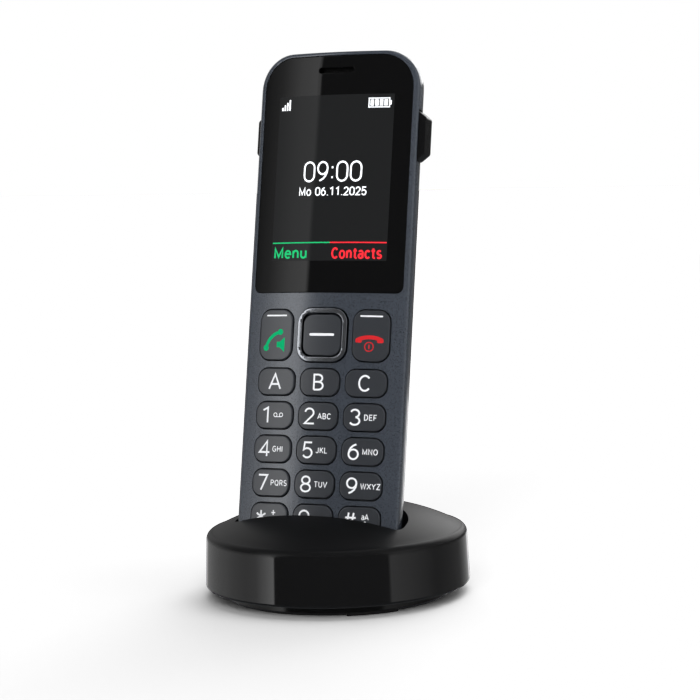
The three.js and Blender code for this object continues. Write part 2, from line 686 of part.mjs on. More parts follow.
function baseBottomShell() {
  const { radius, bottom, plate, rimRadius, rimTop, rimWall } = foot;
  const shelf = base.wallBottom + 0.2;
  const floor = bottom + plate;
  const tray = turned([
    [0, bottom],
    [radius - 0.4, bottom],
    [radius, bottom + 0.4],
    [radius, shelf],
    [rimRadius, shelf],
    [rimRadius, rimTop],
    [rimRadius - rimWall, rimTop],
    [radius - rimWall, shelf],
    [radius - rimWall, floor],
    [0, floor],
  ]);
  const { halfX, front, back, roof, wall, channelHalf, channelRoof } = plug;
  const tub = block(-halfX - wall, halfX + wall, front - wall, back + wall, bottom, roof + wall);
  const throat = block(
    -channelHalf - wall, channelHalf + wall, back, foot.radius - 0.8, bottom, channelRoof + wall,
  );
  let shell = join(tray, tub, throat);
  shell = cut(
    shell,
    block(-halfX, halfX, front, back, -5, roof),
    block(-channelHalf, channelHalf, back - 2, 45, -5, channelRoof),
    block(-3.2, 3.2, front - 5, front + 1, 3.6, roof - 1),
  );
  for (const side of [-1, 1]) {
    shell = shell.add(block(side * 13 - 1.5, side * 13 + 1.5, -12.5, -9.5, floor - 0.1, floor + 0.9));
  }
  for (const degrees of screwBase.atDeg) {
    const place = polar(screwBase.radius, degrees);
    shell = shell.add(rod("z", 3.6, bottom, foot.rimTop - 0.6, place, 16));
    shell = cut(
      shell,
      rod("z", screwBase.head + 0.25, -1, bottom + 2.1, place, 14),
      rod("z", screwBase.shaft + 0.25, 0, 10, place, 10),
    );
  }
  for (const degrees of rubber.atDeg) {
    const bed = footShape(rubber.outer + 0.15, rubber.inner - 0.15, degrees, rubber.spanDeg + 0.6);
    shell = shell.subtract(prismZ(bed, -1, rubber.thick + 0.15, 3));
  }
  return shell;
}

function baseScrew(degrees) {
  const place = polar(screwBase.radius, degrees);
  const low = foot.bottom + 0.4;
  const head = rod("z", screwBase.head, low, low + screwBase.headHigh, place, 14);
  const shaftLow = low + screwBase.headHigh;
  const shaft = rod("z", screwBase.shaft, shaftLow - 0.1, shaftLow + screwBase.length, place, 10);
  const [x, y] = place;
  const cross = join(
    block(x - 1.3, x + 1.3, y - 0.25, y + 0.25, low - 1, low + 0.6),
    block(x - 0.25, x + 0.25, y - 1.3, y + 1.3, low - 1, low + 0.6),
  );
  return head.add(shaft).subtract(cross);
}

// A sprung charging pin: it stands through the slot's floor, with a flange that stops it coming out.
function chargingPin(side) {
  const x = side * pads.x;
  const floorUnder = -slot.floorGap - slot.floor;
  const pin = block(x - 1.1, x + 1.1, pads.y - 0.6, pads.y + 0.6, floorUnder - 1, pads.recess - clearance);
  return pin.add(block(x - 1.9, x + 1.9, pads.y - 1.4, pads.y + 1.4, floorUnder - 0.8, floorUnder - 0.2));
}

const chargeBoard = { halfX: 16, front: 3.5, back: 11, top: -4.4, thick: 1 };

function chargingBoard() {
  const { halfX, front, back, top, thick } = chargeBoard;
  return block(-halfX, halfX, front, back, top - thick, top);
}

function powerSocket() {
  const { front, roof } = plug;
  const body = block(-4.2, 4.2, front - 5.2, front - 1.5, 2.7, roof + 0.6);
  const nose = block(-2.9, 2.9, front - 1.6, front - 0.2, 3.9, roof - 1.3);
  const mouth = block(-2.1, 2.1, front - 4.5, front + 1, 4.6, roof - 2);
  return body.add(nose).subtract(mouth);
}

// One of the two wires from the power socket to the charging board, held under the slot.
function powerWire(side) {
  const [socketBack, boardBack] = [plug.front - 5.5, -5.2];
  const level = foot.bottom + foot.plate + 0.75;
  const route = new THREE.CatmullRomCurve3([
    new THREE.Vector3(side * 2.4, socketBack, level + 0.9),
    new THREE.Vector3(side * 2.8, socketBack - 2.5, level + 0.2),
    new THREE.Vector3(side * 4.5, socketBack - 6, level),
    new THREE.Vector3(side * 6, boardBack + 1.5, level),
    new THREE.Vector3(side * 6.3, boardBack, level),
  ]);
  const wire = new THREE.Shape();
  wire.absarc(0, 0, 0.5, 0, Math.PI * 2);
  const path = { steps: 8, extrudePath: route, bevelEnabled: false, curveSegments: 3 };
  return toSolid(new THREE.ExtrudeGeometry(wire, path));
}

// ---------- materials ----------
const paint = (color, roughness, metalness = 0) =>
  new THREE.MeshStandardMaterial({ color, roughness, metalness });
const finish = {
  bluePaint: paint(0x3b424c, 0.45, 0.3),
  blackGloss: paint(0x0b0b0c, 0.08),
  blackPlastic: paint(0x17181a, 0.4),
  keyPaint: paint(0x444a53, 0.5, 0.25),
  chrome: paint(0xb8bcc2, 0.18, 1),
  silicone: paint(0x8d9094, 0.7),
  circuit: paint(0x1f5a34, 0.55),
  glassDark: paint(0x202124, 0.15),
  steel: paint(0xa9acb0, 0.35, 1),
  gold: paint(0xc8a45a, 0.3, 1),
  rubberBlack: paint(0x1b1b1c, 0.85),
  cellWrap: paint(0x2c6e46, 0.4),
  redWire: paint(0xa01f1c, 0.5),
};

const root = new THREE.Group();
const handset = new THREE.Group();
handset.position.set(0, seat.y, seat.z);
handset.rotation.x = -lean;
root.add(handset);

function add(group, name, solid, material) {
  const mesh = new THREE.Mesh(toGeometry(solid), material);
  mesh.name = name;
  group.add(mesh);
}

add(handset, "front_shell", frontShell(), finish.bluePaint);
add(handset, "rear_shell", rearShell(), finish.bluePaint);
add(handset, "battery_cover", batteryCover(), finish.bluePaint);
add(handset, "display_lens", displayLens(), finish.blackGloss);
add(handset, "display_module", displayModule(), finish.glassDark);
add(handset, "earpiece_mesh", earpieceMesh(), finish.steel);
add(handset, "earpiece_speaker", earpieceSpeaker(), finish.blackPlastic);
for (const { name, at, hole } of allKeyPlaces()) {
  add(handset, name, keyCap(...at, hole, pad.proud), finish.keyPaint);
}
add(handset, "nav_ring", navigationRing(), finish.chrome);
add(handset, "nav_centre_key", centreKey(), finish.keyPaint);
add(handset, "volume_rocker", sideKeySolid(sideKeys.right), finish.blackPlastic);
add(handset, "left_side_key", sideKeySolid(sideKeys.left), finish.blackPlastic);
add(handset, "key_mat", keyMat(), finish.silicone);
add(handset, "main_board", mainBoard(), finish.circuit);
add(handset, "loudspeaker", loudspeaker(), finish.steel);
const capsule = rod("y", mouth.radius, mouth.front, mouth.front + mouth.thick, [0, mouth.z], 12);
add(handset, "microphone", capsule, finish.steel);
for (const [side, word] of [[-1, "left"], [1, "right"]]) {
  const x = side * pads.x;
  const [halfX, halfY] = [pads.sizeX / 2, pads.sizeY / 2];
  const plate = block(
    x - halfX, x + halfX, pads.y - halfY, pads.y + halfY, pads.recess, pads.recess + pads.thick,
  );
  add(handset, `battery_${word}`, batteryCell(side), finish.cellWrap);
  add(handset, `battery_spring_${word}`, batterySpring(side), finish.steel);
  add(handset, `battery_plate_${word}`, contactPlate(side), finish.steel);
  add(handset, `handset_screw_${word}`, phoneScrew(side), finish.steel);
  add(handset, `handset_contact_${word}`, plate, finish.gold);
  add(handset, `charging_pin_${word}`, chargingPin(side), finish.gold);
}
add(handset, "charging_board", chargingBoard(), finish.circuit);

add(root, "base_top_shell", baseTopShell(), finish.blackPlastic);
add(root, "base_bottom_shell", baseBottomShell(), finish.blackPlastic);
const footNames = ["front", "rear", "left"];
rubber.atDeg.forEach((degrees, i) => {
  add(root, `foot_${footNames[i]}`, rubberFoot(degrees), finish.rubberBlack);
});
const screwNames = ["rear_right", "rear_left", "front"];
screwBase.atDeg.forEach((degrees, i) => {
  add(root, `base_screw_${screwNames[i]}`, baseScrew(degrees), finish.steel);
});
add(root, "power_socket", powerSocket(), finish.blackPlastic);
add(root, "power_wire_red", powerWire(1), finish.redWire);
add(root, "power_wire_black", powerWire(-1), finish.blackPlastic);

export default root;
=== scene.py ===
import json
from math import asin, cos, pi, radians, sin, sqrt

import bmesh
import bpy
from mathutils import Matrix, Vector


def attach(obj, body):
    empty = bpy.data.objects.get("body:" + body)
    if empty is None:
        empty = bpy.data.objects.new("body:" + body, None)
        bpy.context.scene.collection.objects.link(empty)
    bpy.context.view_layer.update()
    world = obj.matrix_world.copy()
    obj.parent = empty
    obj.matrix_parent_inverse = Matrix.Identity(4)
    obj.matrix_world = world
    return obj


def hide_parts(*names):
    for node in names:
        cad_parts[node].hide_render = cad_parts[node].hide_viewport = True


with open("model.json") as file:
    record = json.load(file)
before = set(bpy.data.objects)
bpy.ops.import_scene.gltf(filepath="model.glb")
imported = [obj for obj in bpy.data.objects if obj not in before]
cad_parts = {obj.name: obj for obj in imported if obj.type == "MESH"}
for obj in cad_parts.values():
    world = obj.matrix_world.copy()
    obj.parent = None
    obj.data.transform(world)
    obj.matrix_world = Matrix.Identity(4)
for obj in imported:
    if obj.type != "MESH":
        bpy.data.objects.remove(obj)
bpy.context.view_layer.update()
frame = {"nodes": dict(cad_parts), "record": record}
record = frame["record"]

# Everything is modelled in millimetres and made metres when a piece is settled.
# The handset's own frame: X across, Y from the face backwards, Z from its bottom end up.
handset = {
    "lean": 11.5, "seatY": -19.4, "seatZ": 10.8,
    "halfWidth": 25.35, "length": 151.2, "faceRadius": 128.7, "edgeRound": 0.95,
    "holeEdge": 0.16, "seamGap": 0.15,
    "sideDepth": 3.0, "backDepth": 20.5, "seam": 4.6, "wall": 1.8,
    "topCorner": 10.5, "bottomCorner": 7.0, "endRun": 14.0, "bottomTrim": 1.0,
}
cutDepths = {"before": -3, "behindFace": 10, "behindBack": 30}
toMetres = Matrix.Scale(0.001, 4)
leanBack = (
    Matrix.Translation((0, handset["seatY"], handset["seatZ"]))
    @ Matrix.Rotation(radians(-handset["lean"]), 4, "X")
)
inHandset = toMetres @ leanBack


# Puts a light, a camera or a mesh into the scene as an object.
def placed(name, data):
    obj = bpy.data.objects.new(name, data)
    bpy.context.collection.objects.link(obj)
    return obj


def meshFrom(bm, name):
    mesh = bpy.data.meshes.new(name)
    bm.to_mesh(mesh)
    bm.free()
    return mesh


camera = {"at": (265.38, -584.65, 135.30), "yaw": 23.927, "pitch": 5.645, "roll": -1.658, "lens": 113.4}


def makeCamera():
    yaw, pitch, roll = (radians(camera[k]) for k in ("yaw", "pitch", "roll"))
    ahead = Vector((-sin(yaw) * cos(pitch), cos(yaw) * cos(pitch), -sin(pitch)))
    level = Vector((cos(yaw), sin(yaw), 0))
    top = level.cross(ahead)
    right = level * cos(roll) + top * sin(roll)
    up = top * cos(roll) - level * sin(roll)
    data = bpy.data.cameras.new("camera")
    data.lens = camera["lens"]
    data.sensor_width = 36
    data.clip_start = 0.01
    obj = placed("camera", data)
    turn = Matrix((right, up, -ahead)).transposed().to_4x4()
    obj.matrix_world = Matrix.Translation(Vector(camera["at"]) * 0.001) @ turn
    bpy.context.scene.camera = obj


# Most lamps only light matt surfaces; the ceiling softbox is also mirrored.
# Azimuths are counted from +X towards +Y.
lamps = {
    "front lamp": {"azimuth": -72, "elevation": 28, "away": 1.6, "size": (1.0, 0.8), "power": 14.5},
    "right lamp": {"azimuth": -10, "elevation": 25, "away": 1.6, "size": (0.8, 0.8), "power": 1.5},
    "top lamp": {"azimuth": 50, "elevation": 72, "away": 1.5, "size": (1.7, 1.3), "power": 16},
    "back lamp": {"azimuth": 96, "elevation": 22, "away": 1.6, "size": (1.6, 0.9), "power": 12},
    "ceiling softbox": {
        "azimuth": 20, "elevation": 80, "away": 1.6, "size": (1.1, 0.9), "power": 1.2, "shines": True,
    },
}

# Three softbox walls, one above the other, that only mirror in the pieces.
# Each stop is an azimuth and the wall's brightness there: bright panels and the dark gaps between them.
softboxWalls = {
    "radius": 1.5, "strength": 2.0,
    "middle wall": {
        "low": -0.14, "high": 0.22,
        "stops": (
            (-180, 0.2), (-151, 0.2), (-140, 0.3), (-131, 0.55), (-122.2, 0.85), (-121.2, 0.035),
            (-40, 0.035), (-21.4, 0.04), (-20.6, 0.24), (0, 0.16), (27, 0.06), (65, 0.04),
            (90, 0.05), (102, 0.06), (116, 0.08), (130, 0.12), (140, 0.18), (180, 0.2),
        ),
    },
    "low wall": {
        "low": -0.45, "high": -0.14,
        "stops": (
            (-180, 0.26), (-151, 0.24), (-140, 0.3), (-131, 0.55), (-122.2, 0.85), (-121.2, 0.035),
            (-40, 0.035), (-21.4, 0.04), (-20.6, 0.27), (0, 0.19), (27, 0.07), (65, 0.08),
            (90, 0.25), (102, 0.7), (116, 0.75), (130, 0.3), (140, 0.17), (180, 0.25),
        ),
    },
    "high wall": {
        "low": 0.22, "high": 1.9,
        "stops": (
            (-180, 0.08), (-142, 0.05), (-134.5, 0.28), (-128, 0.75), (-122.2, 0.95),
            (-121.2, 0.04), (-40, 0.04), (-21.4, 0.06), (-20.6, 0.3), (0, 0.25), (27, 0.08),
            (56, 0.15), (68, 0.95), (98, 1.0), (107, 0.2), (122, 0.1), (134, 0.24), (150, 0.26),
            (168, 0.2),
        ),
    },
}


def makeLights():
    target = Vector((0, 0, 0.075))
    for name, lamp in lamps.items():
        light = bpy.data.lights.new(name, "AREA")
        light.shape = "RECTANGLE"
        light.size, light.size_y = lamp["size"]
        light.energy = lamp["power"]
        obj = placed(name, light)
        turn, rise = radians(lamp["azimuth"]), radians(lamp["elevation"])
        way = Vector((cos(turn) * cos(rise), sin(turn) * cos(rise), sin(rise)))
        facing = way.to_track_quat("Z", "Y").to_matrix().to_4x4()
        obj.matrix_world = Matrix.Translation(target + way * lamp["away"]) @ facing
        obj.visible_camera = False
        obj.visible_glossy = lamp.get("shines", False)


def makeSoftboxWall(name):
    spec = softboxWalls[name]
    bm = bmesh.new()
    low = bm.verts.new((softboxWalls["radius"], 0, spec["low"]))
    high = bm.verts.new((softboxWalls["radius"], 0, spec["high"]))
    edge = bm.edges.new((low, high))
    bmesh.ops.spin(
        bm, geom=[low, high, edge], cent=(0, 0, 0), axis=(0, 0, 1), angle=2 * pi, steps=96,
        use_merge=True, use_duplicate=False,
    )
    wall = placed(name, meshFrom(bm, name))
    glow = bpy.data.materials.new(name + " glow")
    glow.use_nodes = True
    nodes, links = glow.node_tree.nodes, glow.node_tree.links
    nodes.clear()
    output = nodes.new("ShaderNodeOutputMaterial")
    emission = nodes.new("ShaderNodeEmission")
    emission.inputs["Strength"].default_value = softboxWalls["strength"]
    place = nodes.new("ShaderNodeTexCoord")
    around = nodes.new("ShaderNodeTexGradient")
    around.gradient_type = "RADIAL"
    ramp = nodes.new("ShaderNodeValToRGB")
    stops = ramp.color_ramp.elements
    while len(stops) < len(spec["stops"]):
        stops.new(0.5)
    for stop, (azimuth, level) in zip(stops, spec["stops"]):
        stop.position = azimuth / 360 + 0.5
        stop.color = (level, level, level, 1)
    links.new(place.outputs["Object"], around.inputs["Vector"])
    links.new(around.outputs["Fac"], ramp.inputs["Fac"])
    links.new(ramp.outputs["Color"], emission.inputs["Color"])
    links.new(emission.outputs[0], output.inputs["Surface"])
    wall.data.materials.append(glow)
    wall.visible_camera = False
    wall.visible_shadow = False
    wall.visible_diffuse = False


def makeWorld():
    world = bpy.data.worlds.new("studio")
    bpy.context.scene.world = world
    world.use_nodes = True
    nodes, links = world.node_tree.nodes, world.node_tree.links
    nodes.clear()
    output = nodes.new("ShaderNodeOutputWorld")
    path = nodes.new("ShaderNodeLightPath")
    mix = nodes.new("ShaderNodeMixShader")
    links.new(path.outputs["Is Camera Ray"], mix.inputs[0])
    # the pieces are lit by a dim cool room, and the camera sees plain white behind them
    for mixInput, color, strength in ((1, (0.9, 0.94, 1, 1), 0.1), (2, (1, 1, 1, 1), 1)):
        background = nodes.new("ShaderNodeBackground")
        background.inputs["Color"].default_value = color
        background.inputs["Strength"].default_value = strength
        links.new(background.outputs[0], mix.inputs[mixInput])
    links.new(mix.outputs[0], output.inputs["Surface"])
    bpy.context.scene.view_settings.view_transform = "Standard"


def makeFloor():
    bm = bmesh.new()
    bmesh.ops.create_grid(bm, x_segments=1, y_segments=1, size=4)
    floor = placed("floor", meshFrom(bm, "floor"))
    paper = bpy.data.materials.new("white paper")
    paper.use_nodes = True
    nodes, links = paper.node_tree.nodes, paper.node_tree.links
    shader = nodes["Principled BSDF"]
    shader.inputs["Base Color"].default_value = (0.9, 0.9, 0.9, 1)
    shader.inputs["Roughness"].default_value = 0.9
    # from below the paper is clear, so that the underside can be looked at
    side = nodes.new("ShaderNodeNewGeometry")
    clear = nodes.new("ShaderNodeBsdfTransparent")
    mix = nodes.new("ShaderNodeMixShader")
    links.new(side.outputs["Backfacing"], mix.inputs[0])
    links.new(shader.outputs[0], mix.inputs[1])
    links.new(clear.outputs[0], mix.inputs[2])
    links.new(mix.outputs[0], nodes["Material Output"].inputs["Surface"])
    floor.data.materials.append(paper)
    floor.is_shadow_catcher = True
    floor.visible_glossy = False


makeCamera()
makeLights()
makeSoftboxWall("low wall")
makeSoftboxWall("middle wall")
makeSoftboxWall("high wall")
makeWorld()
makeFloor()
print("camera, lights and floor made")


def newShader(name, color, roughness, metallic=0.0, coat=0.0, coatRoughness=0.1, specular=0.5):
    material = bpy.data.materials.new(name)
    material.use_nodes = True
    shader = material.node_tree.nodes["Principled BSDF"]
    shader.inputs["Base Color"].default_value = (*color, 1)
    shader.inputs["Roughness"].default_value = roughness
    shader.inputs["Metallic"].default_value = metallic
    shader.inputs["Coat Weight"].default_value = coat
    shader.inputs["Coat Roughness"].default_value = coatRoughness
    shader.inputs["Specular IOR Level"].default_value = specular
    return material, material.node_tree.nodes, material.node_tree.links, shader


def noiseAt(nodes, links, scale, detail=2.0, kind="ShaderNodeTexNoise"):
    place = nodes.new("ShaderNodeTexCoord")
    noise = nodes.new(kind)
    noise.inputs["Scale"].default_value = scale
    if "Detail" in noise.inputs:
        noise.inputs["Detail"].default_value = detail
    links.new(place.outputs["Object"], noise.inputs["Vector"])
    return noise


def ramped(nodes, links, source, low, high, lowColor, highColor):
    ramp = nodes.new("ShaderNodeValToRGB")
    ramp.color_ramp.elements[0].position = low
    ramp.color_ramp.elements[0].color = (*lowColor, 1)
    ramp.color_ramp.elements[1].position = high
    ramp.color_ramp.elements[1].color = (*highColor, 1)
    links.new(source, ramp.inputs["Fac"])
    return ramp.outputs["Color"]


def addBump(nodes, links, shader, source, strength, depth):
    bump = nodes.new("ShaderNodeBump")
    bump.inputs["Strength"].default_value = strength
    bump.inputs["Distance"].default_value = depth
    links.new(source, bump.inputs["Height"])
    links.new(bump.outputs["Normal"], shader.inputs["Normal"])


def gray(level):
    return (level, level, level)


# Satin paint with fine metal flakes over a moulded shell.
def flakePaint(name, dark, light, roughness, sheen, bumps=0.08, patches=0.015):
    material, nodes, links, shader = newShader(
        name, dark, roughness, metallic=0.15, coat=sheen, coatRoughness=0.13, specular=1.0,
    )
    flakes = noiseAt(nodes, links, 4600, kind="ShaderNodeTexVoronoi")
    speckled = ramped(nodes, links, flakes.outputs["Color"], 0.25, 0.95, dark, light)
    links.new(speckled, shader.inputs["Base Color"])
    cloud = noiseAt(nodes, links, 900, 3)
    smooth, rough = gray(roughness - patches), gray(roughness + patches)
    clouded = ramped(nodes, links, cloud.outputs["Fac"], 0.3, 0.7, smooth, rough)
    links.new(clouded, shader.inputs["Roughness"])
    grain = noiseAt(nodes, links, 2600, 2)
    addBump(nodes, links, shader, grain.outputs["Fac"], bumps, 0.00003)
    return material


# Moulded plastic with a fine spark-eroded grain.
def mouldedPlastic(name, color, roughness, grainScale=2200, grain=0.08, coat=0.0, specular=0.5):
    material, nodes, links, shader = newShader(
        name, color, roughness, coat=coat, coatRoughness=0.05, specular=specular,
    )
    cloud = noiseAt(nodes, links, 260, 4)
    links.new(
        ramped(nodes, links, cloud.outputs["Fac"], 0.3, 0.75, gray(roughness * 0.9), gray(roughness * 1.12)),
        shader.inputs["Roughness"],
    )
    fine = noiseAt(nodes, links, grainScale, 3)
    addBump(nodes, links, shader, fine.outputs["Fac"], grain, 0.00003)
    return material


def platedMetal(name, color, roughness, brushed=0.0, spread=0.3):
    material, nodes, links, shader = newShader(name, color, roughness, metallic=1.0)
    cloud = noiseAt(nodes, links, 1500, 3)
    links.new(
        ramped(
            nodes, links, cloud.outputs["Fac"], 0.35, 0.7,
            gray(roughness * (1 - spread)), gray(roughness * (1 + spread)),
        ),
        shader.inputs["Roughness"],
    )
    if brushed:
        fine = noiseAt(nodes, links, 6000, 2)
        addBump(nodes, links, shader, fine.outputs["Fac"], brushed, 0.00002)
    return material


# Print that gives off a little light of its own. On the screen this is the display's real light; on the keys
# it is a painted glow.
def glowingPrint(name, color, glow):
    material, nodes, links, shader = newShader(name, color, 0.45, specular=0.15)
    shader.inputs["Emission Color"].default_value = (*color, 1)
    shader.inputs["Emission Strength"].default_value = glow
    fine = noiseAt(nodes, links, 3000, 2)
    addBump(nodes, links, shader, fine.outputs["Fac"], 0.03, 0.00001)
    return material


# Green board with copper tracks under the solder mask.
def circuitBoard(name):
    material, nodes, links, shader = newShader(name, (0.01, 0.08, 0.03), 0.35)
    tracks = noiseAt(nodes, links, 600, kind="ShaderNodeTexVoronoi")
    tracks.distance = "CHEBYCHEV"
    links.new(
        ramped(nodes, links, tracks.outputs["Distance"], 0.35, 0.5, (0.008, 0.06, 0.02), (0.02, 0.14, 0.05)),
        shader.inputs["Base Color"],
    )
    addBump(nodes, links, shader, tracks.outputs["Distance"], 0.2, 0.00005)
    return material


finishes = {
    "blue_paint": flakePaint(
        "blue-grey flake paint", (0.02, 0.026, 0.037), (0.063, 0.074, 0.094), 0.2, 0.75,
    ),
    "key_paint": flakePaint(
        "key paint", (0.034, 0.037, 0.044), (0.039, 0.043, 0.051), 0.28, 0.4, bumps=0.012, patches=0.004,
    ),
    "black_gloss": mouldedPlastic("black lens", (0.004, 0.004, 0.0042), 0.02, grain=0.0, specular=0.3),
    "black_plastic": mouldedPlastic("black moulded plastic", (0.005, 0.005, 0.0053), 0.15, specular=0.35),
    "screen_dark": mouldedPlastic("display panel", (0.014, 0.014, 0.015), 0.08, grain=0.0),
    "chrome_ring": platedMetal("satin chrome", (0.5, 0.52, 0.56), 0.16, spread=0.1),
    "silicone": mouldedPlastic("keypad silicone", (0.24, 0.25, 0.27), 0.6, 900, 0.2),
    "circuit": circuitBoard("circuit board"),
    "steel": platedMetal("plated steel", (0.5, 0.51, 0.53), 0.3, 0.1),
    "gold": platedMetal("gold plating", (0.8, 0.55, 0.22), 0.22, 0.05),
    "rubber_black": mouldedPlastic("black rubber", (0.012, 0.012, 0.012), 0.75, 1200, 0.3),
    "cell_wrap": mouldedPlastic("cell wrap", (0.02, 0.16, 0.06), 0.25, 400, 0.03, coat=0.5),
    "red_wire": mouldedPlastic("red insulation", (0.35, 0.01, 0.01), 0.4, 500, 0.1),
}


# The base's dome is satin and its side wall polished, so both change between two heights in metres.
satinDome = {"low": 0.0172, "high": 0.0186, "Roughness": (0.045, 0.4), "Specular IOR Level": (0.6, 0.24)}


def baseMaterial():
    material, nodes, links, shader = newShader("base plastic", (0.005, 0.005, 0.0053), 0.3, specular=0.65)
    place = nodes.new("ShaderNodeTexCoord")
    split = nodes.new("ShaderNodeSeparateXYZ")
    links.new(place.outputs["Object"], split.inputs[0])
    for socket in ("Roughness", "Specular IOR Level"):
        rise = nodes.new("ShaderNodeMapRange")
        rise.inputs["From Min"].default_value = satinDome["low"]
        rise.inputs["From Max"].default_value = satinDome["high"]
        rise.inputs["To Min"].default_value, rise.inputs["To Max"].default_value = satinDome[socket]
        links.new(split.outputs["Z"], rise.inputs["Value"])
        links.new(rise.outputs[0], shader.inputs[socket])
    fine = noiseAt(nodes, links, 2600, 3)
    addBump(nodes, links, shader, fine.outputs["Fac"], 0.02, 0.00002)
    return material


basePlastic = baseMaterial()
darkMesh = platedMetal("black gauze", (0.03, 0.03, 0.03), 0.45)
# The white, green and red key prints glow faintly though the keys hold no lamp: a painted glow. The lit
# colours are the display's own light.
whitePrintPaintedGlow = glowingPrint("white print", (0.8, 0.81, 0.83), 0.25)
whiteGlow = glowingPrint("lit white", (0.9, 0.92, 0.95), 0.75)
greenPrintPaintedGlow = glowingPrint("green print", (0.0, 0.36, 0.13), 0.3)
redPrintPaintedGlow = glowingPrint("red print", (0.55, 0.016, 0.02), 0.25)
greenGlow = glowingPrint("lit green", (0.01, 0.4, 0.13), 0.7)
redGlow = glowingPrint("lit red", (0.75, 0.02, 0.03), 0.7)
panelGlow, _, _, panelShader = newShader("lit panel", gray(0.008), 0.03, specular=0.12)
panelShader.inputs["Emission Color"].default_value = (0.9, 0.95, 1, 1)
panelShader.inputs["Emission Strength"].default_value = 0.01
print("materials made")


def sag(x):
    return handset["faceRadius"] - sqrt(handset["faceRadius"] ** 2 - x * x)


# A rounded rectangle standing in X and Z, as one face.
def plate(bm, cx, cz, halfX, halfZ, radius, y=0.0, lowRadius=None, segments=8):
    old = set(bm.faces)
    verts = bmesh.ops.create_grid(bm, x_segments=1, y_segments=1, size=1)["verts"]
    bmesh.ops.scale(bm, vec=(halfX, halfZ, 1), verts=verts)
    bmesh.ops.rotate(bm, cent=(0, 0, 0), matrix=Matrix.Rotation(radians(90), 3, "X"), verts=verts)
    bmesh.ops.translate(bm, vec=(cx, y, cz), verts=verts)
    for group, round_ in (
        ([v for v in verts if v.co.z > cz], radius),
        ([v for v in verts if v.co.z < cz], radius if lowRadius is None else lowRadius),
    ):
        if round_ > 0:
            bmesh.ops.bevel(
                bm, geom=group, offset=round_, offset_type="OFFSET", affect="VERTICES",
                segments=segments, profile=0.5, material=-1,
            )
    return [f for f in bm.faces if f not in old]


def pushBack(bm, faces, depth):
    grown = bmesh.ops.extrude_face_region(bm, geom=faces)["geom"]
    bmesh.ops.translate(bm, vec=(0, depth, 0), verts=[g for g in grown if isinstance(g, bmesh.types.BMVert)])
    bmesh.ops.recalc_face_normals(bm, faces=bm.faces)


def prism(bm, cx, cz, halfX, halfZ, radius, y0, y1, lowRadius=None, segments=8):
    pushBack(bm, plate(bm, cx, cz, halfX, halfZ, radius, y0, lowRadius, segments), y1 - y0)


def block(bm, x0, x1, y0, y1, z0, z1):
    verts = bmesh.ops.create_cube(bm, size=1)["verts"]
    bmesh.ops.scale(bm, vec=(x1 - x0, y1 - y0, z1 - z0), verts=verts)
    bmesh.ops.translate(bm, vec=((x0 + x1) / 2, (y0 + y1) / 2, (z0 + z1) / 2), verts=verts)


def rodAlongY(bm, radius, y0, y1, x, z, segments=32):
    turn = Matrix.Translation((x, (y0 + y1) / 2, z)) @ Matrix.Rotation(radians(90), 4, "X")
    bmesh.ops.create_cone(
        bm, cap_ends=True, segments=segments, radius1=radius, radius2=radius, depth=y1 - y0, matrix=turn,
    )


def everything(bm):
    return bm.verts[:] + bm.edges[:] + bm.faces[:]


# Cuts strips across the width, so that a flat piece can take the face's curve.
def bendToFace(bm, spacing, fullDepth=None, flatDepth=None):
    reach = max(abs(v.co.x) for v in bm.verts)
    lines = int(reach / spacing) + 1
    for i in range(-lines, lines + 1):
        bmesh.ops.bisect_plane(
            bm, geom=everything(bm), dist=1e-4, plane_co=(i * spacing, 0, 0), plane_no=(1, 0, 0),
        )
    for v in bm.verts:
        share = 1.0
        if flatDepth is not None:
            share = min(1, max(0, (flatDepth - v.co.y) / (flatDepth - fullDepth)))
        v.co.y += sag(v.co.x) * share


def roundEdges(bm, edges, width, segments=3):
    bmesh.ops.bevel(
        bm, geom=edges, offset=width, offset_type="OFFSET", affect="EDGES",
        segments=segments, profile=0.5, material=-1, clamp_overlap=True,
    )


# The sharp edges that lie wholly in front of a depth.
def frontEdges(bm, depth):
    return [
        e for e in bm.edges
        if all(v.co.y < depth for v in e.verts) and len(e.link_faces) == 2 and e.calc_face_angle(0) > 0.7
    ]


def objectFrom(bm, name):
    return placed(name, meshFrom(bm, name))


# Cuts from, joins to or keeps the common part of a piece, and takes the tool away.
def carve(obj, tool, operation="DIFFERENCE"):
    step = obj.modifiers.new("carve", "BOOLEAN")
    step.object = tool
    step.operation = operation
    step.solver = "EXACT"
    bpy.context.view_layer.update()
    made = bpy.data.meshes.new_from_object(obj.evaluated_get(bpy.context.evaluated_depsgraph_get()))
    obj.modifiers.clear()
    obj.data = made
    bpy.data.objects.remove(tool)


def opened(obj):
    bm = bmesh.new()
    bm.from_mesh(obj.data)
    return bm


def store(bm, obj):
    bm.to_mesh(obj.data)
    bm.free()


# Puts a finished piece in its place, in metres, gives it its body and finish, and hides the CAD nodes that
# it replaces.
def settle(obj, place, body, slot, material=None, nodes=(), angle=35, weighted=True):
    obj.data.transform(place)
    obj.data.materials.clear()
    obj.data.materials.append(material or finishes[slot])
    for polygon in obj.data.polygons:
        polygon.use_smooth = True
        polygon.material_index = 0
    obj.data.set_sharp_from_angle(angle=radians(angle))
    if weighted:
        step = obj.modifiers.new("even shading", "WEIGHTED_NORMAL")
        step.keep_sharp = True
        step.weight = 80
    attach(obj, body)
    if nodes:
        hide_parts(*nodes)
    return obj


def outlinePlate(bm, inset, y, segments=12):
    low = -handset["bottomTrim"] + inset
    high = handset["length"] - inset
    return plate(
        bm, 0, (low + high) / 2, handset["halfWidth"] - inset, (high - low) / 2,
        handset["topCorner"] - inset, y, handset["bottomCorner"] - inset, segments,
    )


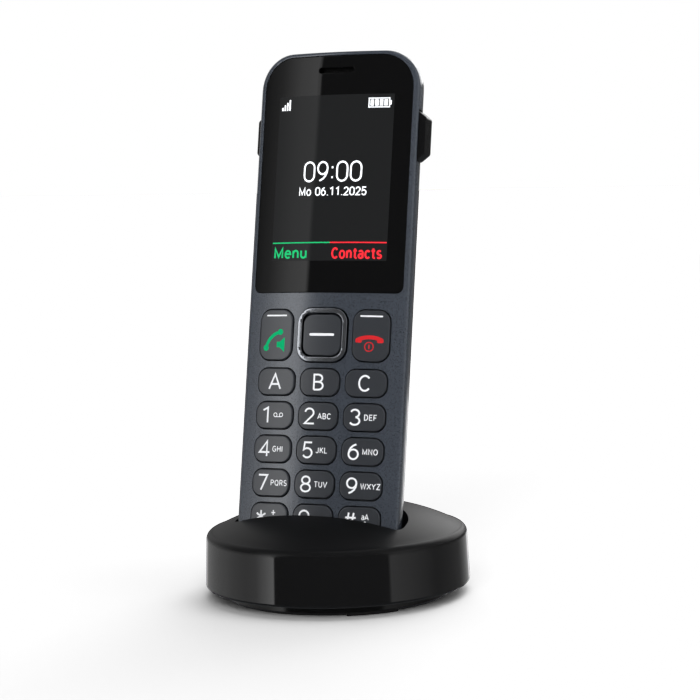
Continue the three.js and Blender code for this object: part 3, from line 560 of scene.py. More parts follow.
# The curved back from a flat plane to its deepest line, shrunk by an inset.
def backBody(inset, front, steps=26, segments=12):
    bm = bmesh.new()
    outlinePlate(bm, 0, front, segments)
    low, high = -handset["bottomTrim"], handset["length"]
    run = handset["endRun"]
    bmesh.ops.delete(bm, geom=bm.faces[:], context="FACES_ONLY")
    levels = [low + run, high - run] + [low + run + (high - low - 2 * run) * i / 16 for i in range(1, 16)]
    for level in levels:
        bmesh.ops.bisect_plane(
            bm, geom=bm.verts[:] + bm.edges[:], dist=1e-4, plane_co=(0, 0, level), plane_no=(0, 0, 1),
        )
    for i in range(-5, 6):
        bmesh.ops.bisect_plane(
            bm, geom=bm.verts[:] + bm.edges[:], dist=1e-4, plane_co=(i * 2.8, 0, 0), plane_no=(1, 0, 0),
        )
    depth = handset["backDepth"] - inset
    startTurn = asin(max(0, front - handset["sideDepth"]) / depth)
    middle = {}
    ring = bm.edges[:]

    def placeRing(verts, source, turn):
        for v in verts:
            x, z = source[v]
            midZ = min(max(z, low + run), high - run)
            kept = cos(turn) * max(0, 1 - inset / sqrt(x * x + (z - midZ) ** 2))
            v.co = Vector((x * kept, handset["sideDepth"] + depth * sin(turn), midZ + (z - midZ) * kept))

    outline = {v: (v.co.x, v.co.z) for v in bm.verts}
    capEdges = ring[:]
    placeRing(list(outline), outline, startTurn)
    current = outline
    for i in range(1, steps + 1):
        pairs = {}
        made = bmesh.ops.extrude_edge_only(bm, edges=ring)["geom"]
        ring = [g for g in made if isinstance(g, bmesh.types.BMEdge)]
        fresh = [g for g in made if isinstance(g, bmesh.types.BMVert)]
        for v in fresh:
            near = [e.other_vert(v) for e in v.link_edges if e.other_vert(v) in current]
            pairs[v] = current[near[0]]
        turn = startTurn + (pi / 2 - startTurn) * i / steps
        placeRing(fresh, pairs, min(turn, pi / 2 - 1e-4))
        current = pairs
    bmesh.ops.edgeloop_fill(bm, edges=capEdges)
    bmesh.ops.remove_doubles(bm, verts=bm.verts[:], dist=0.01)
    bmesh.ops.holes_fill(bm, edges=bm.edges[:], sides=0)
    bmesh.ops.recalc_face_normals(bm, faces=bm.faces[:])
    return bm


def cutFlat(bm, level):
    cutting = bmesh.ops.bisect_plane(
        bm, geom=everything(bm), dist=1e-4, plane_co=(0, 0, level), plane_no=(0, 0, 1), clear_inner=True,
    )
    edges = [g for g in cutting["geom_cut"] if isinstance(g, bmesh.types.BMEdge)]
    bmesh.ops.edgeloop_fill(bm, edges=edges)
    bmesh.ops.recalc_face_normals(bm, faces=bm.faces[:])


keypad = {
    "pitchX": 14.26, "pitchZ": 9.84, "bottomRow": 14.4, "halfX": 6.5, "halfZ": 4.25, "corner": 3.4,
    "gap": 0.36, "proud": 0.6, "back": 5.2, "flangeFront": 4.4, "flangeLap": 0.25, "edge": 0.34,
    "rows": [
        ["key_star", "key_0", "key_hash"],
        ["key_7", "key_8", "key_9"],
        ["key_4", "key_5", "key_6"],
        ["key_1", "key_2", "key_3"],
        ["key_a", "key_b", "key_c"],
    ],
}
menu = {
    "z": 67.5, "ringHalf": 8.15, "ringCorner": 4.6, "ringWidth": 1.4, "ringProud": 0.9,
    "ringInnerEdge": 0.25, "ringOuterEdge": 0.5, "centreHalf": 6.0, "centreCorner": 2.9,
    "softX": 15.1, "softHalfX": 5.8, "softHalfZ": 7.75, "softCorner": 3.8,
}


def keyPlaces():
    places = {}
    for row, names in enumerate(keypad["rows"]):
        for column, name in enumerate(names):
            x = (column - 1) * keypad["pitchX"]
            z = keypad["bottomRow"] + row * keypad["pitchZ"]
            places[name] = (x, z, keypad["halfX"], keypad["halfZ"], keypad["corner"])
    for name, side in (("call_key", -1), ("end_key", 1)):
        x = side * menu["softX"]
        places[name] = (x, menu["z"], menu["softHalfX"], menu["softHalfZ"], menu["softCorner"])
    return places


def makeKey(name, cx, cz, halfX, halfZ, corner, flanged=True):
    gap, proud = keypad["gap"], keypad["proud"]
    bm = bmesh.new()
    prism(bm, cx, cz, halfX - gap, halfZ - gap, corner - gap, -proud, keypad["back"], segments=10)
    roundEdges(bm, frontEdges(bm, -proud + 0.01), keypad["edge"], 4)
    bendToFace(bm, 1.3, keypad["flangeFront"] - 1, keypad["back"] - 0.1)
    obj = objectFrom(bm, name + "_fine")
    if flanged:
        lap = keypad["flangeLap"]
        bm = bmesh.new()
        prism(bm, cx, cz, halfX + lap, halfZ + lap, corner + lap, keypad["flangeFront"], keypad["back"])
        carve(obj, objectFrom(bm, "flange"), "UNION")
    return settle(obj, inHandset, name, "key_paint", nodes=[name])


def makeKeys():
    for name, (x, z, halfX, halfZ, corner) in keyPlaces().items():
        makeKey(name, x, z, halfX, halfZ, corner)
    gap = keypad["gap"]
    half = menu["centreHalf"] + gap
    makeKey("nav_centre_key", 0, menu["z"], half, half, menu["centreCorner"] + gap, flanged=False)


def makeRing():
    bm = bmesh.new()
    half = menu["ringHalf"] - keypad["gap"]
    corner = menu["ringCorner"] - keypad["gap"]
    face = plate(bm, 0, menu["z"], half, half, corner, -menu["ringProud"], segments=14)
    bmesh.ops.inset_region(
        bm, faces=face, thickness=menu["ringWidth"], use_even_offset=True, use_boundary=True,
    )
    bmesh.ops.delete(bm, geom=face, context="FACES")
    pushBack(bm, bm.faces[:], menu["ringProud"] + keypad["back"])
    rim = frontEdges(bm, -menu["ringProud"] + 0.01)
    middle = half - menu["ringWidth"] / 2
    inner = [e for e in rim if max(abs(e.verts[0].co.x), abs(e.verts[0].co.z - menu["z"])) < middle]
    roundEdges(bm, inner, menu["ringInnerEdge"], 3)
    roundEdges(bm, frontEdges(bm, -menu["ringProud"] + 0.01), menu["ringOuterEdge"], 5)
    bendToFace(bm, 1.3, keypad["flangeFront"] - 1, keypad["back"] - 0.1)
    ring = objectFrom(bm, "nav_ring_fine")
    settle(ring, inHandset, "nav_ring", "chrome_ring", nodes=["nav_ring"], angle=50)


lens = {
    "halfWidth": 23.6, "bottom": 80.0, "topInset": 1.3, "topCorner": 9.3, "bottomCorner": 2.0,
    "thick": 1.2, "gap": 0.15, "bed": 0.2, "edge": 0.18,
}
microphoneHole = {"radius": 0.6, "z": 5}
earSlot = {"z": 145.6, "halfX": 5.65, "halfZ": 0.8, "shellGap": 0.3}
earMesh = {"front": 1.62, "bar": 0.18, "half": 0.1, "pitch": 0.5, "reachX": 6.2, "reachZ": 1.5}
sideKeys = {
    "front": 3.7, "back": 8.6, "gap": 0.3, "innerX": 21.6, "edge": 0.45,
    "flange": {"x": (21.2, 22.0), "y": (5.1, 8.9), "over": 0.8},
    "volume_rocker": {"side": 1, "z": 126.3, "half": 7.3, "outerX": 27.6, "chamfer": 2.1},
    "left_side_key": {"side": -1, "z": 126.8, "half": 6.4, "outerX": 26.4, "chamfer": 1.6},
}


def lensPrism(bm, grow, y0, y1):
    top = handset["length"] - lens["topInset"]
    prism(
        bm, 0, (top + lens["bottom"]) / 2, lens["halfWidth"] + grow, (top - lens["bottom"]) / 2 + grow,
        lens["topCorner"] + grow, y0, y1, lens["bottomCorner"] + grow, 12,
    )


def sideKeySlots(bm):
    for name in ("volume_rocker", "left_side_key"):
        key = sideKeys[name]
        reach = key["half"] + sideKeys["gap"]
        x0, x1 = sorted((key["side"] * 20, key["side"] * 40))
        block(bm, x0, x1, sideKeys["front"] - sideKeys["gap"], sideKeys["back"] + sideKeys["gap"],
              key["z"] - reach, key["z"] + reach)


def makeFrontShell():
    bm = bmesh.new()
    pushBack(bm, outlinePlate(bm, 0, 0), handset["seam"])
    roundEdges(bm, frontEdges(bm, 0.01), handset["edgeRound"], 5)
    cutFlat(bm, 0)
    shell = objectFrom(bm, "front_shell_fine")
    wall = handset["wall"]
    bm = bmesh.new()
    pushBack(bm, outlinePlate(bm, wall, wall), 10)
    cutFlat(bm, wall)
    carve(shell, objectFrom(bm, "hollow"))
    bm = bmesh.new()
    y0, y1 = cutDepths["before"], cutDepths["behindFace"]
    for x, z, halfX, halfZ, corner in keyPlaces().values():
        prism(bm, x, z, halfX, halfZ, corner, y0, y1, segments=10)
    half = menu["ringHalf"]
    prism(bm, 0, menu["z"], half, half, menu["ringCorner"], y0, y1, segments=14)
    rodAlongY(bm, microphoneHole["radius"], y0, y1, 0, microphoneHole["z"])
    carve(shell, objectFrom(bm, "key holes"))
    bm = bmesh.new()
    lensPrism(bm, lens["gap"], y0, lens["thick"] + lens["bed"])
    carve(shell, objectFrom(bm, "lens recess"))
    bm = bmesh.new()
    halfX, halfZ = earSlot["halfX"] + earSlot["shellGap"], earSlot["halfZ"] + earSlot["shellGap"]
    prism(bm, 0, earSlot["z"], halfX, halfZ, halfZ - 0.01, y0, y1)
    carve(shell, objectFrom(bm, "ear slot"))
    bm = opened(shell)
    bmesh.ops.dissolve_limit(bm, angle_limit=0.01, verts=bm.verts[:], edges=bm.edges[:])
    roundEdges(bm, frontEdges(bm, 0.01), handset["holeEdge"], 2)
    bendToFace(bm, 1.7, wall, handset["seam"])
    store(bm, shell)
    bm = bmesh.new()
    sideKeySlots(bm)
    carve(shell, objectFrom(bm, "side slots"))
    settle(shell, inHandset, "handset", "blue_paint", nodes=["front_shell"])


def makeLens():
    bm = bmesh.new()
    lensPrism(bm, 0, 0, lens["thick"])
    glass = objectFrom(bm, "display_lens_fine")
    bm = bmesh.new()
    halfZ = earSlot["halfZ"]
    y0, y1 = cutDepths["before"], cutDepths["behindFace"]
    prism(bm, 0, earSlot["z"], earSlot["halfX"], halfZ, halfZ - 0.01, y0, y1)
    carve(glass, objectFrom(bm, "ear slot"))
    bm = opened(glass)
    roundEdges(bm, frontEdges(bm, 0.01), lens["edge"], 3)
    bendToFace(bm, 1.2)
    store(bm, glass)
    settle(glass, inHandset, "handset", "black_gloss", nodes=["display_lens"])


# A woven mesh behind the ear slot: thin bars both ways.
def makeEarMesh():
    bm = bmesh.new()
    z, half, reachX, reachZ = earSlot["z"], earMesh["half"], earMesh["reachX"], earMesh["reachZ"]
    front, middle = earMesh["front"], earMesh["front"] + earMesh["bar"]
    for i in range(-12, 13):
        x = i * earMesh["pitch"]
        block(bm, x - half, x + half, front, middle, z - reachZ, z + reachZ)
    for i in range(-3, 4):
        level = z + i * earMesh["pitch"]
        block(bm, -reachX, reachX, middle, middle + earMesh["bar"], level - half, level + half)
    gauze = objectFrom(bm, "earpiece_mesh_fine")
    settle(gauze, inHandset, "handset", "steel", darkMesh, nodes=["earpiece_mesh"])


cover = {
    "halfX": 15.5, "bottom": 23.5, "top": 84.5, "corner": 5.0, "thick": 1.5, "gap": 0.25, "front": 10,
    "ridges": 4, "ridgePitch": 2.2, "ridgeDrop": 7.6, "ridgeHalfX": 7, "ridgeHalfZ": 0.4, "ridgeFront": 22.9,
}
bay = {"halfX": 11.4, "bottom": 27.5, "top": 80.5, "floorFront": 9.2, "wall": 1.2, "corner": 1.5, "rim": 1}
speaker = {"z": 116, "reach": 8, "slots": 5, "pitch": 2.6, "high": 1.2, "front": 12}
phoneScrew = {"x": 13.4, "z": 78.4, "headAt": 15.6, "head": 1.9, "shaft": 1.1}
contact = {"x": 9, "y": 7.1, "halfX": 2.65, "halfY": 1.65, "deep": 1.4}


def coverPrism(bm, grow, y0, y1):
    middle, half = (cover["top"] + cover["bottom"]) / 2, (cover["top"] - cover["bottom"]) / 2
    prism(bm, 0, middle, cover["halfX"] + grow, half + grow, cover["corner"] + grow, y0, y1, segments=10)


def makeRearShell():
    seam = handset["seam"] + handset["seamGap"]
    behind = cutDepths["behindBack"]
    wall = handset["wall"]
    bm = backBody(0, seam)
    cutFlat(bm, 0)
    shell = objectFrom(bm, "rear_shell_fine")
    bm = backBody(wall, seam - 1, steps=14, segments=6)
    cutFlat(bm, wall)
    carve(shell, objectFrom(bm, "hollow"))
    bm = bmesh.new()
    coverPrism(bm, bay["rim"], bay["floorFront"], behind)
    rim = objectFrom(bm, "bay rim")
    carve(rim, objectFrom(backBody(wall / 2, seam, steps=14, segments=6), "limit"), "INTERSECT")
    carve(shell, rim, "UNION")
    bm = bmesh.new()
    coverPrism(bm, cover["gap"], cover["front"], behind)
    bed = objectFrom(bm, "cover bed")
    carve(bed, objectFrom(backBody(cover["thick"] + cover["gap"], 5, steps=20, segments=8), "keep"))
    carve(shell, bed)
    bm = bmesh.new()
    middle, half = (bay["top"] + bay["bottom"]) / 2, (bay["top"] - bay["bottom"]) / 2
    prism(bm, 0, middle, bay["halfX"], half, bay["corner"], bay["floorFront"] + bay["wall"], behind)
    carve(shell, objectFrom(bm, "bay room"))
    bm = bmesh.new()
    for i in range(speaker["slots"]):
        off = (i - (speaker["slots"] - 1) / 2) * speaker["pitch"]
        reach = sqrt(speaker["reach"] ** 2 - off * off)
        high = speaker["high"] / 2
        prism(bm, 0, speaker["z"] + off, reach, high, high - 0.01, speaker["front"], behind)
    for side in (-1, 1):
        x = side * phoneScrew["x"]
        rodAlongY(bm, phoneScrew["shaft"], 5, 12, x, phoneScrew["z"], 24)
        rodAlongY(bm, phoneScrew["head"], phoneScrew["headAt"], behind, x, phoneScrew["z"])
    carve(shell, objectFrom(bm, "slots and screw holes"))
    bm = bmesh.new()
    sideKeySlots(bm)
    for side in (-1, 1):
        x, y = side * contact["x"], contact["y"]
        block(bm, x - contact["halfX"], x + contact["halfX"], y - contact["halfY"], y + contact["halfY"],
              -1, contact["deep"])
    carve(shell, objectFrom(bm, "side slots and contact wells"))
    settle(shell, inHandset, "handset", "blue_paint", nodes=["rear_shell"])


def makeCover():
    bm = bmesh.new()
    coverPrism(bm, 0, cover["front"], cutDepths["behindBack"])
    skin = objectFrom(bm, "battery_cover_fine")
    carve(skin, objectFrom(backBody(0, 5), "outside"), "INTERSECT")
    carve(skin, objectFrom(backBody(cover["thick"], 4, steps=20, segments=8), "inside"))
    bm = bmesh.new()
    for i in range(cover["ridges"]):
        level = cover["top"] - cover["ridgeDrop"] - i * cover["ridgePitch"]
        halfZ = cover["ridgeHalfZ"]
        prism(bm, 0, level, cover["ridgeHalfX"], halfZ, halfZ - 0.01,
              cover["ridgeFront"], cutDepths["behindBack"])
    carve(skin, objectFrom(bm, "grip ridges"))
    settle(skin, inHandset, "battery_cover", "blue_paint", nodes=["battery_cover"])


def makeSideKeys():
    for name in ("volume_rocker", "left_side_key"):
        key = sideKeys[name]
        side = key["side"]
        half, outerX, chamfer = key["half"], key["outerX"], key["chamfer"]
        innerX, edgeX = sideKeys["innerX"], handset["halfWidth"] - 0.4
        outline = [
            (innerX, -half), (edgeX, -half), (outerX, chamfer - half),
            (outerX, half - chamfer), (edgeX, half), (innerX, half),
        ]
        bm = bmesh.new()
        verts = [bm.verts.new((side * x, sideKeys["front"], key["z"] + z)) for x, z in outline]
        pushBack(bm, [bm.faces.new(verts)], sideKeys["back"] - sideKeys["front"])
        outside = [e for e in bm.edges if any(abs(v.co.x) > edgeX - 0.1 for v in e.verts)]
        roundEdges(bm, outside, sideKeys["edge"], 4)
        obj = objectFrom(bm, name + "_fine")
        bm = bmesh.new()
        flange = sideKeys["flange"]
        x0, x1 = sorted(side * x for x in flange["x"])
        reach = half + flange["over"]
        block(bm, x0, x1, *flange["y"], key["z"] - reach, key["z"] + reach)
        carve(obj, objectFrom(bm, "flange"), "UNION")
        settle(obj, inHandset, name, "black_plastic", nodes=[name])


marks = {"thick": 0.03, "lift": 0.012}


# Points along an arc of an ellipse, by its middle, its half width and height, and its angles in degrees.
def bow(cx, cz, rx, rz, start, end):
    steps = max(4, round(abs(end - start) / 22))
    turns = [radians(start + (end - start) * i / steps) for i in range(steps + 1)]
    return [(cx + rx * cos(t), cz + rz * sin(t)) for t in turns]


# Plain single-line characters: each has its width and its strokes, on a height of one.
glyphs = {
    "0": (0.56, [bow(0.28, 0.7, 0.26, 0.3, 0, 180) + bow(0.28, 0.3, 0.26, 0.3, 180, 360) + [(0.54, 0.7)]]),
    "1": (0.56, [[(0.08, 0.82), (0.36, 1), (0.36, 0)]]),
    "2": (0.56, [bow(0.28, 0.72, 0.24, 0.28, 170, -38) + [(0.03, 0), (0.56, 0)]]),
    "3": (0.56, [bow(0.26, 0.75, 0.23, 0.25, 155, -80), bow(0.26, 0.26, 0.26, 0.26, 80, -155)]),
    "4": (0.6, [[(0.44, 0), (0.44, 1), (0, 0.27), (0.6, 0.27)]]),
    "5": (0.56, [[(0.52, 1), (0.12, 1), (0.07, 0.52)] + bow(0.27, 0.31, 0.26, 0.31, 125, -150)]),
    "6": (0.56, [bow(0.56, 0.35, 0.53, 0.65, 105, 180), bow(0.28, 0.32, 0.25, 0.32, 0, 360)]),
    "7": (0.56, [[(0.02, 1), (0.54, 1), (0.18, 0)]]),
    "8": (0.56, [bow(0.28, 0.76, 0.22, 0.24, 0, 360), bow(0.28, 0.26, 0.26, 0.26, 0, 360)]),
    "9": (0.56, [bow(0, 0.65, 0.53, 0.65, 285, 360), bow(0.28, 0.68, 0.25, 0.32, 0, 360)]),
    "A": (0.68, [[(0, 0), (0.34, 1), (0.68, 0)], [(0.12, 0.33), (0.56, 0.33)]]),
    "B": (0.6, [[(0.06, 0), (0.06, 1), (0.3, 1)] + bow(0.3, 0.76, 0.22, 0.24, 80, -90) + [(0.06, 0.52)],
                [(0.3, 0.52)] + bow(0.31, 0.26, 0.26, 0.26, 80, -90) + [(0.06, 0)]]),
    "C": (0.64, [bow(0.34, 0.5, 0.31, 0.5, 42, 318)]),
    "D": (0.64, [[(0.06, 0), (0.06, 1)] + bow(0.26, 0.5, 0.34, 0.5, 90, -90) + [(0.06, 0)]]),
    "E": (0.54, [[(0.52, 1), (0.06, 1), (0.06, 0), (0.52, 0)], [(0.06, 0.52), (0.46, 0.52)]]),
    "F": (0.52, [[(0.52, 1), (0.06, 1), (0.06, 0)], [(0.06, 0.48), (0.45, 0.48)]]),
    "G": (0.68, [bow(0.35, 0.5, 0.31, 0.5, 45, 345) + [(0.65, 0.46), (0.38, 0.46)]]),
    "H": (0.66, [[(0.06, 0), (0.06, 1)], [(0.6, 0), (0.6, 1)], [(0.06, 0.52), (0.6, 0.52)]]),
    "I": (0.16, [[(0.08, 0), (0.08, 1)]]),
    "J": (0.5, [[(0.42, 1), (0.42, 0.28)] + bow(0.22, 0.26, 0.2, 0.26, 0, -165)]),
    "K": (0.58, [[(0.06, 0), (0.06, 1)], [(0.54, 1), (0.06, 0.38)], [(0.22, 0.6), (0.58, 0)]]),
    "L": (0.52, [[(0.06, 1), (0.06, 0), (0.5, 0)]]),
    "M": (0.8, [[(0.06, 0), (0.06, 1), (0.4, 0.12), (0.74, 1), (0.74, 0)]]),
    "N": (0.66, [[(0.06, 0), (0.06, 1), (0.6, 0), (0.6, 1)]]),
    "O": (0.7, [bow(0.35, 0.5, 0.31, 0.5, 0, 360)]),
    "P": (0.58, [[(0.06, 0), (0.06, 1), (0.3, 1)] + bow(0.3, 0.73, 0.25, 0.27, 80, -90) + [(0.06, 0.46)]]),
    "Q": (0.7, [bow(0.35, 0.5, 0.31, 0.5, 0, 360), [(0.4, 0.2), (0.66, -0.08)]]),
    "R": (0.6, [[(0.06, 0), (0.06, 1), (0.3, 1)] + bow(0.3, 0.74, 0.24, 0.26, 80, -90) + [(0.06, 0.48)],
                [(0.3, 0.48), (0.58, 0)]]),
    "S": (0.58, [bow(0.28, 0.75, 0.22, 0.25, 35, 260) + bow(0.28, 0.25, 0.25, 0.25, 70, -150)]),
    "T": (0.58, [[(0, 1), (0.58, 1)], [(0.29, 1), (0.29, 0)]]),
    "U": (0.64, [[(0.06, 1)] + bow(0.32, 0.3, 0.26, 0.3, 180, 360) + [(0.58, 1)]]),
    "V": (0.64, [[(0, 1), (0.32, 0), (0.64, 1)]]),
    "W": (0.88, [[(0, 1), (0.22, 0), (0.44, 0.96), (0.66, 0), (0.88, 1)]]),
    "X": (0.6, [[(0, 0), (0.6, 1)], [(0, 1), (0.6, 0)]]),
    "Y": (0.6, [[(0, 1), (0.3, 0.46), (0.6, 1)], [(0.3, 0.46), (0.3, 0)]]),
    "Z": (0.58, [[(0.03, 1), (0.55, 1), (0.03, 0), (0.57, 0)]]),
    "a": (0.52, [bow(0.26, 0.5, 0.2, 0.24, 150, 0) + [(0.46, 0)], bow(0.25, 0.2, 0.21, 0.2, 0, 360)]),
    "c": (0.5, [bow(0.28, 0.37, 0.24, 0.37, 42, 318)]),
    "e": (0.54, [[(0.06, 0.4), (0.51, 0.4)] + bow(0.28, 0.37, 0.23, 0.37, 10, 315)]),
    "n": (0.54, [[(0.06, 0), (0.06, 0.74)], bow(0.28, 0.46, 0.2, 0.28, 175, 0) + [(0.48, 0)]]),
    "o": (0.58, [bow(0.29, 0.37, 0.25, 0.37, 0, 360)]),
    "s": (0.5, [bow(0.25, 0.55, 0.18, 0.19, 35, 260) + bow(0.25, 0.18, 0.2, 0.18, 75, -150)]),
    "t": (0.36, [[(0.18, 0.98)] + bow(0.34, 0.16, 0.16, 0.16, 180, 285), [(0, 0.74), (0.36, 0.74)]]),
    "u": (0.54, [[(0.06, 0.74)] + bow(0.26, 0.26, 0.2, 0.26, 180, 340), [(0.48, 0.74), (0.48, 0)]]),
    ":": (0.18, [[(0.09, 0.14), (0.09, 0.24)], [(0.09, 0.66), (0.09, 0.76)]]),
    ".": (0.18, [[(0.09, -0.04), (0.09, 0.06)]]),
    "#": (0.62, [[(0.12, 0), (0.24, 1)], [(0.38, 0), (0.5, 1)],
                 [(0.02, 0.34), (0.58, 0.34)], [(0.06, 0.68), (0.62, 0.68)]]),
    " ": (0.26, []),
}


# A stroke of even width with mitred corners, as a thin closed strip lying in front of the face.
def strokeMark(bm, points, width, depth):
    line = [Vector(p) for p in points]
    line = [p for i, p in enumerate(line) if i == 0 or (p - line[i - 1]).length > 1e-4]
    looped = (line[0] - line[-1]).length < 1e-3
    if looped:
        line = line[:-1]
    count = len(line)
    left, right = [], []
    for i, p in enumerate(line):
        before = p - line[i - 1] if (i > 0 or looped) else line[1] - p
        after = line[(i + 1) % count] - p if (i < count - 1 or looped) else p - line[i - 1]
        before, after = before.normalized(), after.normalized()
        across = Vector((-before.y - after.y, before.x + after.x)).normalized()
        reach = width / 2 / max(0.45, across.dot(Vector((-before.y, before.x))))
        left.append(p + across * reach)
        right.append(p - across * reach)
    part = bmesh.new()
    leftVerts = [part.verts.new((p.x, -depth, p.y)) for p in left]
    rightVerts = [part.verts.new((p.x, -depth, p.y)) for p in right]
    for i in range(count if looped else count - 1):
        j = (i + 1) % count
        part.faces.new((rightVerts[i], rightVerts[j], leftVerts[j], leftVerts[i]))
    pushBack(part, part.faces[:], marks["thick"])
    addTo(bm, part)


# A line of characters of a given height, centred on x or starting from it.
def textMark(bm, words, x, z, high, stroke, depth, centred=True, squeeze=1.0, spacing=0.13):
    tall = high - stroke
    wide = tall * squeeze
    total = sum(glyphs[c][0] for c in words) + spacing * (len(words) - 1)
    cursor = x - total * wide / 2 if centred else x + stroke / 2
    layer = depth
    for character in words:
        width, strokes = glyphs[character]
        for stroked in strokes:
            points = [(cursor + px * wide, z - tall / 2 + pz * tall) for px, pz in stroked]
            strokeMark(bm, points, stroke, layer)
            layer += 0.0015
        cursor += (width + spacing) * wide


def addTo(bm, part):
    mesh = meshFrom(part, "part")
    bm.from_mesh(mesh)
    bpy.data.meshes.remove(mesh)


def barMark(bm, x0, x1, z0, z1, depth, radius=0.0):
    part = bmesh.new()
    back = -depth + marks["thick"]
    prism(part, (x0 + x1) / 2, (z0 + z1) / 2, (x1 - x0) / 2, (z1 - z0) / 2, radius, -depth, back)
    addTo(bm, part)


# A stroke of even width along an arc, from one angle to another.
def arcMark(bm, x, z, radius, width, start, end, depth, segments=20):
    part = bmesh.new()
    a = part.verts.new((radius - width / 2, 0, 0))
    b = part.verts.new((radius + width / 2, 0, 0))
    edge = part.edges.new((a, b))
    bmesh.ops.rotate(part, cent=(0, 0, 0), matrix=Matrix.Rotation(radians(start), 3, "Z"), verts=[a, b])
    bmesh.ops.spin(
        part, geom=[a, b, edge], cent=(0, 0, 0), axis=(0, 0, 1), angle=radians(end - start),
        steps=segments, use_merge=abs(end - start) >= 360, use_duplicate=False,
    )
    bmesh.ops.remove_doubles(part, verts=part.verts[:], dist=1e-4)
    bmesh.ops.rotate(part, cent=(0, 0, 0), matrix=Matrix.Rotation(radians(90), 3, "X"), verts=part.verts[:])
    bmesh.ops.translate(part, vec=(x, -depth, z), verts=part.verts[:])
    pushBack(part, part.faces[:], marks["thick"])
    addTo(bm, part)


def shapeMark(bm, points, depth):
    part = bmesh.new()
    face = part.faces.new([part.verts.new((x, -depth, z)) for x, z in points])
    pushBack(part, [face], marks["thick"])
    addTo(bm, part)


def settleMark(bm, name, body, slot, material):
    bendToFace(bm, 1.0)
    bmesh.ops.recalc_face_normals(bm, faces=bm.faces[:])
    mark = settle(objectFrom(bm, name), inHandset, body, slot, material, weighted=False)
    mark.visible_glossy = False


legends = {
    "key_1": ("1", ""), "key_2": ("2", "ABC"), "key_3": ("3", "DEF"), "key_4": ("4", "GHI"),
    "key_5": ("5", "JKL"), "key_6": ("6", "MNO"), "key_7": ("7", "PQRS"), "key_8": ("8", "TUV"),
    "key_9": ("9", "WXYZ"), "key_0": ("0", ""), "key_a": ("A", None), "key_b": ("B", None),
    "key_c": ("C", None), "key_star": ("*", ""), "key_hash": ("#", ""),
}
printed = {
    "digitHigh": 4.9, "digitX": -2.55, "digitStroke": 0.54,
    "lettersHigh": 1.75, "lettersX": 0.05, "lettersStroke": 0.24,
}


def makeLegends():
    depth = keypad["proud"] + marks["lift"]
    digitX, digitHigh, digitStroke = printed["digitX"], printed["digitHigh"], printed["digitStroke"]
    lettersHigh, lettersStroke = printed["lettersHigh"], printed["lettersStroke"]
    for name, (x, z, *_) in keyPlaces().items():
        if name not in legends:
            continue
        digit, letters = legends[name]
        bm = bmesh.new()
        if letters is None:
            textMark(bm, digit, x - 0.25, z, digitHigh, digitStroke, depth, squeeze=1.28)
        elif digit == "*":
            for i, turn in enumerate((30, 90, 150)):
                way = Vector((cos(radians(turn)), sin(radians(turn)))) * 1.75
                middle = Vector((x + digitX, z))
                strokeMark(bm, [middle - way, middle + way], digitStroke, depth + 0.002 * i)
            strokeMark(bm, [(x + 0.9, z + 1.2), (x + 2.3, z + 1.2)], 0.32, depth)
            strokeMark(bm, [(x + 1.6, z + 0.5), (x + 1.6, z + 1.9)], 0.32, depth + 0.002)
        else:
            textMark(bm, digit, x + digitX, z, digitHigh, digitStroke, depth, squeeze=1.3)
            textMark(
                bm, letters, x + printed["lettersX"], z, lettersHigh, lettersStroke, depth,
                centred=False, squeeze=1.16, spacing=0.2,
            )
        if name == "key_1":  # two loops joined by a bar: messages
            for side in (-0.95, 0.95):
                arcMark(bm, x + 1.45 + side, z + 0.1, 0.55, 0.24, 0, 360, depth)
            barMark(bm, x + 0.5, x + 2.4, z - 0.56, z - 0.34, depth + 0.003)
        if name == "key_0":
            mark = [(x + 0.45, z + 0.35), (x + 0.45, z - 0.45), (x + 2.75, z - 0.45), (x + 2.75, z + 0.35)]
            strokeMark(bm, mark, 0.3, depth)
        if name == "key_hash":
            textMark(bm, "aA", x + 1.9, z + 1.1, lettersHigh, lettersStroke, depth)
            barMark(bm, x + 1.1, x + 2.7, z - 1.9, z - 0.8, depth)
            arcMark(bm, x + 1.9, z - 0.8, 0.5, 0.25, 0, 180, depth + 0.003)
        settleMark(bm, name + "_legend", name, "key_paint", whitePrintPaintedGlow)


